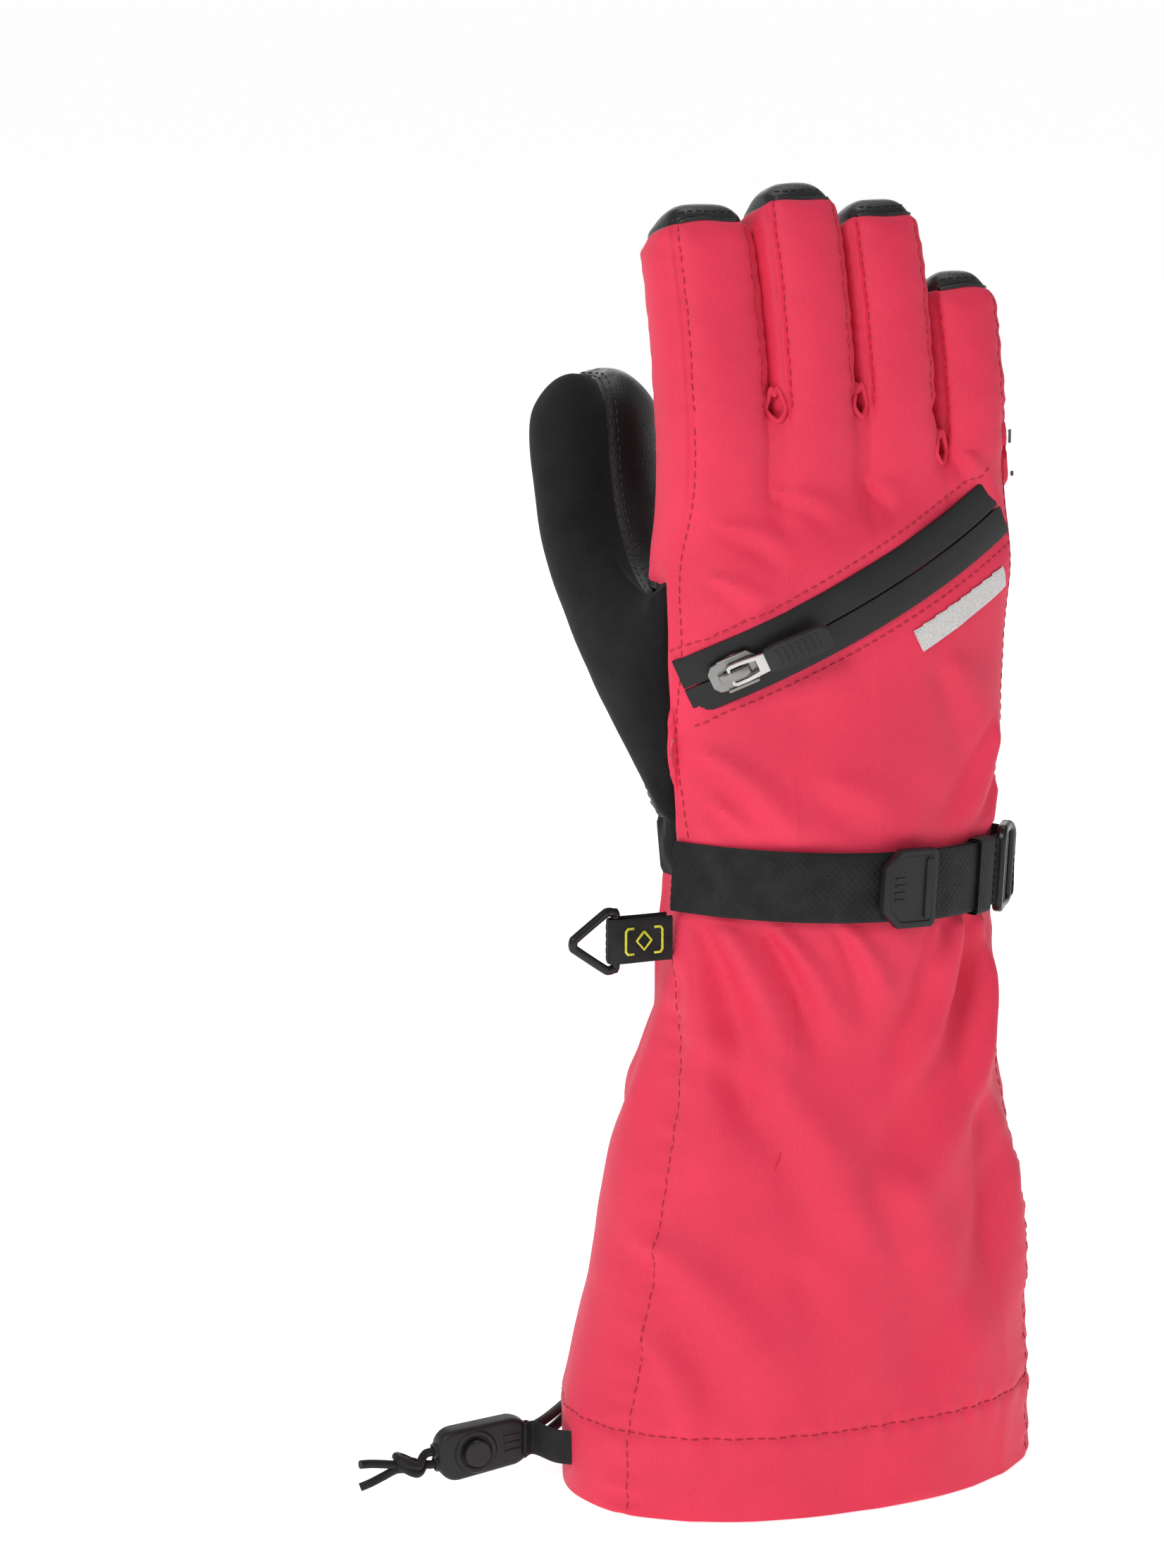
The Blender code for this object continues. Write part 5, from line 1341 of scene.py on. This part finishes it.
# %% Outlines, plates and bands
def round_outline(length, width, radius, steps=4):
    points = []
    for quarter, (sx, sy) in enumerate(((1, 1), (-1, 1), (-1, -1), (1, -1))):
        for step in range(steps + 1):
            turn = math.radians(90) * (quarter + step / steps)
            points.append((sx * (length / 2 - radius) + radius * math.cos(turn),
                           sy * (width / 2 - radius) + radius * math.sin(turn)))
    return points


def mirrored(half):
    """A whole outline from its half below the X axis."""
    return half + [(x, -y) for x, y in reversed(half)]


def plate(outline, thickness, hole=None, bevel=0.3, segments=2):
    """An outline in local XY extruded along Z, with an optional hole and softened edges."""
    bm = bmesh.new()
    rims = []
    for points in (outline, hole) if hole else (outline,):
        verts = [bm.verts.new((x, y, 0.0)) for x, y in points]
        rims += [bm.edges.new((a, b)) for a, b in zip(verts, verts[1:] + verts[:1])]
    if hole:
        bmesh.ops.bridge_loops(bm, edges=rims)
    else:
        bmesh.ops.contextual_create(bm, geom=rims)
    bmesh.ops.translate(bm, verts=doubled(bm), vec=(0.0, 0.0, thickness))
    bmesh.ops.recalc_face_normals(bm, faces=bm.faces)
    if bevel:
        rim = [e for e in bm.edges if len(e.link_faces) == 2 and e.calc_face_angle(0.0) > math.radians(60)]
        bmesh.ops.bevel(bm, geom=rim, offset=bevel, segments=segments, profile=0.5, affect="EDGES",
                        material=-1, clamp_overlap=True)
    return bm


def laid(bm, matrix):
    bmesh.ops.transform(bm, verts=bm.verts, matrix=matrix)
    return bm


def woven(length, width, thick, rib=1.9, yarn=1.1, depth=0.22, cell=0.45):
    """A flat ribbed band: local X from 0 to its length, Y across, Z from 0 to its thickness."""
    bm = bmesh.new()
    cells_long, cells_wide = (max(2, round(size / cell)) for size in (length, width))
    bmesh.ops.create_grid(bm, x_segments=cells_long, y_segments=cells_wide, size=0.5)
    bmesh.ops.scale(bm, verts=bm.verts, vec=(length, width, 1.0))
    bmesh.ops.translate(bm, verts=bm.verts, vec=(length / 2, 0.0, 0.0))
    low = bm.verts[:]
    for verts, level, sign in ((low, 0.0, -1.0), (doubled(bm), thick, 1.0)):
        for vert in verts:
            row = math.floor(vert.co.y / yarn)
            rise = 0.5 + 0.5 * math.cos(2 * math.pi * (vert.co.x / rib + 0.5 * (row % 2)))
            round_off = 1.0 - abs(2.0 * vert.co.y / width) ** 10
            rows = 0.5 + 0.5 * math.cos(2 * math.pi * vert.co.y / yarn)
            raised = depth * (0.65 * rise + 0.35 * rows) * round_off - depth - 0.25 * (1 - round_off)
            vert.co.z = level + sign * raised
    return bm


def wrapped(bm, arc, start, low):
    """A flat band laid on an arc from a start angle, its underside at a height."""
    for vert in bm.verts:
        vert.co = arc.at(start + vert.co.x / arc.radius, vert.co.y, low + vert.co.z)
    return bm


# %% [markdown]
# ## The zip
# A moulded waterproof zip lies in a dark film band. The film's two lips nearly meet over the coil. The
# slider is plated metal, its bridge holds a puller frame, and a rubber grip is moulded round the frame's end.

# %% The film and the coil
ZIP_START, ZIP_END = math.radians(-30.0), math.radians(28.5)
# Each corner of a lip's section: its height, and its share of the way from the outer edge to the inner one.
FILM_SECTION = ((0.1, 0.0), (0.95, 0.0), (1.25, 0.08), (1.32, 0.5),
                (1.67, 0.88), (1.55, 1.0), (0.7, 1.0), (0.1, 0.9))


def film(inner, outer):
    """One lip of the film: a rounded section spun along the zip."""
    bm = bmesh.new()
    bm.faces.new([bm.verts.new((0.0, -ZIP.radius - rise, mix(outer, inner, share)))
                  for rise, share in FILM_SECTION])
    bmesh.ops.rotate(bm, verts=bm.verts, matrix=Matrix.Rotation(ZIP_START, 3, "Z"))
    bmesh.ops.spin(bm, geom=bm.verts[:] + bm.edges[:] + bm.faces[:], axis=(0.0, 0.0, 1.0), steps=90,
                   angle=ZIP_END - ZIP_START)
    return laid(bm, ZIP.frame)


for lip, side_sign in (("upper", 1.0), ("lower", -1.0)):
    piece(f"zip_film_{lip}", film(0.28 * side_sign, TAPE_WIDTH / 2 * side_sign), FINISH["tape"], "hand",
          (f"zip_tape_{lip}",))
teeth = bmesh.new()
for step in range(-52, 51):
    for hand_side in (-0.5, 0.5):
        spot = ZIP.lay(math.radians(0.56 * step + (0.28 if hand_side > 0 else 0.0)), 0.55)
        tooth = spot @ Matrix.Translation((0.0, hand_side, 0.0)) @ Matrix.Diagonal((0.45, 0.8, 0.4, 1.0))
        bmesh.ops.create_uvsphere(teeth, u_segments=6, v_segments=4, radius=1.0, matrix=tooth)
piece("zip_coil_teeth", teeth, FINISH["coil"], "hand", ("zip_coil",))

# %% Slider, puller and grip
SLIDER_REST = math.radians(-26.5) + 8.0 / 105.0
SLIDER_BASE = 2.2
slider_lay = ZIP.lay(SLIDER_REST)
body_outline = mirrored([(-7.0, -2.2), (-5.6, -4.0), (1.0, -5.0), (5.4, -4.6), (7.0, -2.6)])
bridge_outline = [(-4.6, 0.0), (-4.2, 2.0), (-2.4, 3.1), (2.4, 3.1), (4.2, 2.0), (4.6, 0.0),
                  (3.0, 0.0), (2.6, 1.2), (-2.6, 1.2), (-3.0, 0.0)]
slider = plate(body_outline, 1.5, bevel=0.4, segments=3)
flanges = [laid(plate(round_outline(9.0, 0.9, 0.4), 0.9, bevel=0.2), Matrix.Translation((1.0, s * 4.4, 1.2)))
           for s in (-1, 1)]
bridge = laid(plate(bridge_outline, 2.6, bevel=0.3, segments=2),
              Matrix.Translation((0.0, 1.3, 1.4)) @ UPRIGHT)
slider = laid(join(slider, bridge, *flanges), slider_lay @ Matrix.Translation((0.0, 0.0, SLIDER_BASE)))
piece("slider_body", slider, FINISH["worn_nickel"], "zip_slider", ("zip_slider",))
PIN = SLIDER_BASE + 1.6 + 1.7       # the height of the puller's middle over the zip's arc
frame_outline = mirrored([(-1.6, -2.6), (-0.6, -3.2), (3.0, -3.2), (10.2, -2.7)])
frame_hole = mirrored([(-0.6, -1.9), (-0.2, -2.0), (3.0, -2.0), (6.6, -1.6)])
puller_frame = laid(plate(frame_outline, 1.2, frame_hole, bevel=0.3),
                    slider_lay @ Matrix.Translation((0.0, 0.0, PIN - 0.6)))
piece("puller_frame", puller_frame, FINISH["nickel"], "zip_puller", ("zip_puller",))
grip = plate(mirrored([(9.3, -3.2), (13.0, -3.7), (26.5, -3.5), (28.3, -2.2)]), 2.7, bevel=0.6, segments=3)
ribs = [laid(plate(round_outline(1.0, 5.0, 0.45), 0.4, bevel=0.15),
             Matrix.Translation((12.6 + 1.9 * k, 0.0, 2.55))) for k in range(7)]
grip = laid(join(grip, *ribs), slider_lay @ Matrix.Translation((0.0, 0.0, PIN - 1.35)))
piece("rubber_grip", grip, FINISH["rubber"], "zip_puller", ("puller_grip",))

# %% The woven label, kept plain
LABEL_LENGTH, LABEL_WIDTH, LABEL_BELOW_ZIP = 35.0, 6.5, 17.5
label_half = LABEL_LENGTH / 2 / ZIP.radius
label_middle = math.radians(26.5) - label_half - 0.05
label = woven(LABEL_LENGTH, LABEL_WIDTH, 0.75, rib=0.9, yarn=LABEL_WIDTH, depth=0.14, cell=0.3)
for vert in label.verts:
    place = ZIP.at(label_middle - label_half + vert.co.x / ZIP.radius, vert.co.y - LABEL_BELOW_ZIP, 0.0)
    vert.co = snap(place, 0.12 + vert.co.z)[0]
piece("label_patch", label, FINISH["label_thread"], "hand", ("label_bar",))

# %% [markdown]
# ## The wrist strap
# Ribbed webbing crosses the back of the wrist through a ladder lock. Its tail folds back under an elastic
# keeper, and a moulded tab gives the hand something to pull.

# %% Strap, tail, keeper
STRAP_WIDTH, RIB_DEPTH = 19.5, 0.38
strap_start, lock_start = math.radians(-51.0), math.radians(42.0)
band = woven(STRAP.radius * (lock_start - strap_start), STRAP_WIDTH, 1.6, depth=RIB_DEPTH)
band = wrapped(band, STRAP, strap_start, 1.45)
piece("strap_webbing", band, FINISH["webbing"], "hand", ("wrist_strap",))
tail_start = 15.0 / STRAP.radius
band = woven(STRAP.radius * (lock_start - tail_start), STRAP_WIDTH, 1.5, depth=RIB_DEPTH)
band = wrapped(band, STRAP, tail_start, 3.25)
piece("tail_webbing", band, FINISH["webbing"], "strap_tail", ("strap_tail",))
keeper_at, keeper_long, keeper_steps = math.radians(31.5), 7.0, 14


def keeper_loop():
    """A flat elastic loop round both layers: its section, extruded along the strap and ribbed."""
    bm = bmesh.new()
    for ring in (round_outline(21.4, 4.6, 1.2, 5), round_outline(20.2, 3.5, 0.8, 5)):
        verts = [bm.verts.new((0.0, y, z + 3.05)) for y, z in ring]
        for a, b in zip(verts, verts[1:] + verts[:1]):
            bm.edges.new((a, b))
    bmesh.ops.bridge_loops(bm, edges=bm.edges[:])
    faces = bm.faces[:]
    for _ in range(keeper_steps):
        faces = raise_faces(bm, faces, (keeper_long / keeper_steps, 0.0, 0.0))
    for vert in bm.verts:
        vert.co.z += 0.10 * math.sin(vert.co.x * 2 * math.pi / 1.4) * (1 if vert.co.z > 3.0 else -1)
    return wrapped(bm, STRAP, keeper_at, 0.35)


piece("keeper_elastic", keeper_loop(), FINISH["elastic"], "strap_keeper", ("strap_keeper",))

# %% The moulded tab
tab_outline = [(8.5, -10.0), (8.5, 10.0), (7.5, 11.0), (-3.5, 11.0),
               (-8.5, 6.0), (-8.5, -6.0), (-3.5, -11.0), (7.5, -11.0)]
tab = plate(tab_outline, 3.0, bevel=0.45, segments=3)
face = max(tab.faces, key=lambda f: (round(f.calc_center_median().z, 3), f.calc_area()))
bmesh.ops.inset_individual(tab, faces=[face], thickness=1.3, depth=0.0)
bmesh.ops.inset_individual(tab, faces=[face], thickness=0.35, depth=-0.35)
ridges = [laid(plate([(-1.0, -0.35), (1.0, -0.35), (1.0, 0.35), (-1.0, 0.35)], 0.5, bevel=0.12),
               Matrix.Translation((-3.4, -3.0 + 2.0 * k, 2.5)) @ Matrix.Diagonal((1.6, 1.0, 1.0, 1.0)))
          for k in range(4)]
slot_bar = laid(plate(round_outline(2.0, 17.0, 0.9), 1.0, bevel=0.25), Matrix.Translation((5.6, 0.0, 2.4)))
tab = laid(join(tab, slot_bar, *ridges), STRAP.lay(8.5 / STRAP.radius, 3.4))
piece("moulded_tab", tab, FINISH["plastic"], "strap_tail", ("strap_tab",))

# %% The ladder lock and its fixed webbing
lock_middle = lock_start + 7.5 / STRAP.radius
lock_lay = STRAP.lay(lock_middle, 2.8)
ladder = plate(round_outline(15.0, 25.0, 4.2, 6), 3.0, round_outline(9.0, 19.6, 1.0, 6),
               bevel=0.9, segments=3)
bar = plate(round_outline(2.4, 21.0, 1.0), 2.0, bevel=0.5, segments=2)
ladder = join(ladder, laid(bar, Matrix.Translation((0.4, 0.0, 0.6))))
for vert in ladder.verts:       # bow the ends up, and drop the far end's corners
    vert.co.z += 0.012 * vert.co.x ** 2 - 0.010 * vert.co.y ** 2 * (vert.co.x > 0) * 0.5
piece("ladder_buckle", laid(ladder, lock_lay), FINISH["gloss_plastic"], "ladder_lock",
      ("ladder_lock",))


# %% Webbing that turns
def ribbon(points, width, thick, across, rib=1.9):
    """A band of webbing that follows a line of points, its width along a direction."""
    line = spline_through(points, 8)
    lengths = [0.0]
    for a, b in zip(line, line[1:]):
        lengths.append(lengths[-1] + (b - a).length)
    bm = woven(lengths[-1], width, thick, rib=rib)
    for vert in bm.verts:
        at = min(len(line) - 2, max(0, int(np.searchsorted(lengths, vert.co.x)) - 1))
        share = (vert.co.x - lengths[at]) / max(1e-6, lengths[at + 1] - lengths[at])
        place = line[at].lerp(line[at + 1], min(1.0, share))
        heading = (line[min(at + 2, len(line) - 1)] - line[max(at - 1, 0)]).normalized()
        out = heading.cross(across).normalized()
        vert.co = place + across * vert.co.y + out * (vert.co.z - thick / 2)
    return bm


WEBBING_TURN = ((-0.01, 4.2), (0.035, 5.0), (0.075, 5.4), (0.11, 4.6),
                (0.12, 3.4), (0.06, 2.7), (-0.01, 2.6))
turn_points = [STRAP.at(lock_start + angle, 0.0, over) for angle, over in WEBBING_TURN]
piece("strap_turn", ribbon(turn_points, 19.0, 1.3, STRAP.axis), FINISH["webbing"], "hand")
UP = Vector((0.0, 0.0, 1.0))
LOOP_TURN = ((1.2, -3.4), (2.3, -0.4), (1.0, 3.0), (-1.2, 8.0), (-2.0, 15.5))
loop_points = [joint_place("lock_lift") + Vector((px, py, 0.0)) for px, py in LOOP_TURN]
piece("lock_loop_webbing", ribbon(loop_points, 19.0, 1.4, UP), FINISH["webbing"], "hand",
      ("lock_loop",))

# %% [markdown]
# ## The leash tab
# A short fold of webbing holds a triangular ring of moulded rod. Its woven motif is a plain pair of brackets
# and a diamond, made of raised thread.

# %% Tab, ring and motif
LEASH = joint_place("leash_swing")
TAB_FOLD = ((16.0, -2.1), (8.0, -2.1), (1.0, -2.2), (-1.9, -1.2), (-2.2, 0.0),
            (-1.9, 1.2), (1.0, 2.2), (8.0, 2.1), (16.0, 2.1))
fold = [LEASH + Vector((px, py, 0.0)) for px, py in TAB_FOLD]
piece("leash_webbing", ribbon(fold, 12.5, 0.9, UP, rib=1.3), FINISH["webbing"], "hand",
      ("leash_tab",))
half, corner, deep = 8.2, 3.0, 12.4
ring_path = [(0.0, -half + 1.6), (0.0, half - 1.6), (-0.8, half - 0.3), (-2.2, half),
             (-corner - 0.6, half - 0.7), (-deep + 1.2, 2.0), (-deep, 0.9), (-deep, -0.9),
             (-deep + 1.2, -2.0), (-corner - 0.6, -half + 0.7), (-2.2, -half), (-0.8, -half + 0.3)]
rod_line = spline_through([LEASH + Vector((px, 0.0, pz)) for px, pz in ring_path], 5, cyclic=True)
piece("leash_rod_ring", swept(rod_line, 2.6, cyclic=True), FINISH["gloss_plastic"], "leash_ring",
      ("leash_ring",), sharp=180.0)
motif = []
for line in ([(4.4, 3.6), (2.6, 3.6), (2.0, 2.8), (2.0, -2.8), (2.6, -3.6), (4.4, -3.6)],
             [(10.4, 3.6), (12.2, 3.6), (12.8, 2.8), (12.8, -2.8), (12.2, -3.6), (10.4, -3.6)],
             [(7.4, 2.6), (9.6, 0.0), (7.4, -2.6), (5.2, 0.0), (7.4, 2.6)]):
    motif.append(swept([LEASH + Vector((px, -2.72, pz)) for px, pz in line], 0.75, rings=1))
piece("leash_motif", join(*motif), FINISH["motif_thread"], "hand", sharp=180.0)

# %% [markdown]
# ## Eyelet, cord lock and knot
# The eyelet is a spun washer. The cord lock is a flat moulded body with a sprung button, and the cords pass
# through it, meet in a knot and end in two cut tails.

# %% Where the eyelet is
def hem_place(z_level):
    """The point of the hem on the palm side near the index side, and the way it faces."""
    a, b = (Vector((*body_point(column, CELLS_DEEP, 0)[:2], z_level)) for column in (1, 0))
    outward = (b - a).cross(UP).normalized()
    return (a + b) / 2, outward


def washer(profile):
    bm = bmesh.new()
    verts = [bm.verts.new((r, 0.0, h)) for r, h in profile]
    edges = [bm.edges.new((a, b)) for a, b in zip(verts, verts[1:] + verts[:1])]
    bmesh.ops.spin(bm, geom=verts + edges, axis=(0, 0, 1), steps=40, angle=2 * math.pi, use_merge=True)
    bmesh.ops.remove_doubles(bm, verts=bm.verts, dist=0.001)
    return bm


eyelet_at, eyelet_out = hem_place(12.0)
lay = Matrix.Translation(eyelet_at) @ eyelet_out.to_track_quat("Z", "Y").to_matrix().to_4x4()
rings = [(2.6, 0.3), (2.5, 1.0), (2.9, 1.5), (3.8, 1.75), (5.0, 1.7),
         (6.1, 1.3), (6.5, 0.7), (6.4, 0.4), (5.0, 0.5), (3.6, 0.5)]
piece("eyelet_ring", laid(washer(rings), lay), FINISH["gunmetal"], "hand",
      ("eyelet",), sharp=60.0)
# A flat dark disc closes the eyelet's hole: painted shade, standing for the dark inside the hole.
dark = washer([(0.02, 0.25), (0.02, 0.40), (2.7, 0.45), (2.7, 0.25)])
piece("eyelet_hole_shade", laid(dark, lay), FINISH["cord"], "hand")

# %% The cord lock's body and button
outline = round_outline(LOCK_LENGTH, LOCK_WIDTH, 5.4, 6)
outline = [(px, py * (1.0 - 0.16 * smooth(-4.0, -14.0, px))) for px, py in outline]
BUTTON_ALONG, CORD_APART = 3.0, 1.9
shell_thick, to_end = LOCK_THICK - 0.6, LOCK_LENGTH / 2
lock = plate(outline, shell_thick, bevel=1.4, segments=4)
bmesh.ops.translate(lock, verts=lock.verts, vec=(0.0, 0.0, -shell_thick / 2))
rim = laid(washer([(4.5, 0.0), (4.5, 0.7), (5.0, 1.0), (5.9, 0.9), (6.4, 0.3), (6.4, 0.0)]),
           Matrix.Translation((BUTTON_ALONG, 0.0, shell_thick / 2 - 0.35)))
mouths = []
for side in (-1, 1):
    for end in (-1, 1):
        spot = Matrix.Translation((end * (to_end - 0.3), side * CORD_APART, 0.0))
        mouths.append(laid(washer([(1.7, 0.0), (1.7, 0.9), (2.2, 0.9), (2.4, 0.0)]),
                           spot @ Matrix.Rotation(math.radians(90) * end, 4, "Y")))
slot_marks = [laid(plate(round_outline(5.0, 0.9, 0.4), 0.5, bevel=0.12),
                   Matrix.Translation((-8.0, 2.2 * k, LOCK_THICK / 2 - 0.5))) for k in (-1, 0, 1)]
lock = laid(join(lock, rim, *mouths, *slot_marks), LOCK @ UPRIGHT)
piece("cord_lock_shell", lock, FINISH["plastic"], "hand", ("cord_lock_body", "lock_spring"))
button = washer([(0.02, 0.0), (0.02, 2.3), (1.4, 2.15), (3.0, 2.5), (3.7, 2.3), (4.0, 1.8), (4.0, 0.0)])
button = laid(button, LOCK @ UPRIGHT @ Matrix.Translation((BUTTON_ALONG, 0.0, LOCK_THICK / 2 - 0.5)))
piece("push_button", button, FINISH["gloss_plastic"], "lock_button", ("lock_button",))

# %% Strands
exit_out = 0.6 + 1.2 + STRAND / 2 + 1.0      # far enough out to clear the cloth and the eyelet
for name, up_sign, twist in (("strand_a", 1.0, 0.6), ("strand_b", -1.0, -0.6)):
    start = eyelet_at + eyelet_out * exit_out + UP * (1.7 * up_sign)
    end = LOCK @ Vector((-to_end - 0.3, 0.0, CORD_APART * -up_sign))
    lead = LOCK @ Vector((-to_end - 8.0, twist, 2.0 * -up_sign))
    points = bezier(start, start + eyelet_out * 5.0, lead, end, 22)
    points = [start - eyelet_out * 2.2] + points
    made = piece(name, swept(points, STRAND - 0.1), FINISH["cord"], "hand",
                 (f"cord_{name}",), sharp=60.0)

# %% The overhand knot and its tails
DRAWN = 13.5     # cord inside the lock, which comes out when the knot is pulled


def knot_strand(s):
    """One cord of the doubled overhand knot, on side 1 or -1: in, round, through and out to its cut tail."""
    path = [(-DRAWN, 0.0, CORD_APART * s), (0.4, 0.0, CORD_APART * s), (3.4, 0.2 * s, 1.5 * s),
            (6.0, -2.2, 1.4 + 1.0 * s), (8.2, -3.2, 0.4 + 1.1 * s), (10.6, -1.4, -1.2 + 1.0 * s),
            (11.0, 1.6, -1.4 + 1.0 * s), (8.8, 3.3, 0.2 + 1.1 * s), (6.4, 2.2, 1.6 + 1.0 * s),
            (6.6, -0.2, 0.8 + 1.1 * s), (9.0, -0.4, 0.0 + 1.2 * s), (12.0, 0.0, 0.8 * s),
            (15.5, 0.6 * s, 2.0 * s), (19.5, 0.9 * s, 3.2 * s), (22.6, 1.3 * s, 3.9 * s)]
    return swept(spline_through([LOCK @ Vector((to_end + px, py, pz)) for px, py, pz in path], 6), 2.5)


piece("overhand_knot", join(knot_strand(1), knot_strand(-1)), FINISH["cord"], "drawcord_knot",
      ("drawcord_knot",), sharp=60.0)

# %% The lock's webbing tab
tab_points = [Vector((-75.2, -0.5, 13.0)), Vector((-79.0, 3.0, 13.0)),
              LOCK @ Vector((-to_end - 0.5, -LOCK_THICK / 2 + 0.4, 0.0)),
              LOCK @ Vector((-to_end + 2.6, -LOCK_THICK / 2 - 0.9, 0.0))]
piece("lock_tab_webbing", ribbon(tab_points, 10.0, 1.1, UP, rib=1.3), FINISH["webbing"], "hand",
      ("cord_lock_tab",))

# %% [markdown]
# ## Studio
# The glove stands on a pale floor against white. A broad light from the left gives the folds their shade,
# and the others keep the shadows light.

# %% Floor
floor_bm = bmesh.new()
bmesh.ops.create_grid(floor_bm, x_segments=1, y_segments=1, size=40.0)
floor_finish, _, floor_shader = new_finish("pale_floor", (0.86, 0.86, 0.86), 0.8)
floor_shader.inputs["Specular IOR Level"].default_value = 0.1
floor_shader.inputs["Emission Color"].default_value = (1.0, 1.0, 1.0, 1.0)
floor_shader.inputs["Emission Strength"].default_value = 0.74
floor_mesh = bpy.data.meshes.new("floor")
floor_bm.to_mesh(floor_mesh)
floor_bm.free()
floor_mesh.materials.append(floor_finish)
floor = bpy.data.objects.new("floor", floor_mesh)
floor.location.z = -0.0005
bpy.context.scene.collection.objects.link(floor)
print("floor", [round(c, 2) for c in floor.location])

# %% Lights
GLOVE_MIDDLE = Vector((0.0, 0.0, 0.19))


def area_light(name, place, size, power):
    """A rectangular light in metres and watts, turned towards the glove's middle."""
    data = bpy.data.lights.new(name, "AREA")
    data.shape = "RECTANGLE"
    data.size, data.size_y = size
    data.energy = power
    made = bpy.data.objects.new(name, data)
    made.location = place
    made.rotation_euler = (Vector(place) - GLOVE_MIDDLE).to_track_quat("Z", "Y").to_euler()
    bpy.context.scene.collection.objects.link(made)


area_light("key_light", (-1.25, -0.9, 1.35), (0.6, 0.8), 15.0)
area_light("fill_light", (1.7, -1.0, 0.8), (0.9, 1.2), 1.6)
area_light("top_light", (0.2, 0.6, 1.9), (1.0, 0.8), 4.2)
area_light("back_light", (0.6, 1.8, 1.0), (1.2, 1.0), 5.0)

# %% The world: soft light from above, and plain white where the camera sees past the floor
world_light = bpy.data.worlds.new("studio")
world_light.use_nodes = True
sky = world_light.node_tree
rise = node(sky, "SeparateXYZ", {0: node(sky, "TexCoord").outputs["Generated"]}).outputs["Z"]
glow = tint(sky, rise, 0.05, 0.55, (0.60, 0.60, 0.60), (0.24, 0.24, 0.24))
seen = node(sky, "LightPath").outputs["Is Camera Ray"]
backdrop = node(sky, "MixRGB", {"Fac": seen, "Color1": glow, "Color2": (1.0, 1.0, 1.0, 1.0)})
sky.links.new(backdrop.outputs["Color"], sky.nodes["Background"].inputs["Color"])
bpy.context.scene.world = world_light
bpy.context.scene.view_settings.view_transform = "Standard"
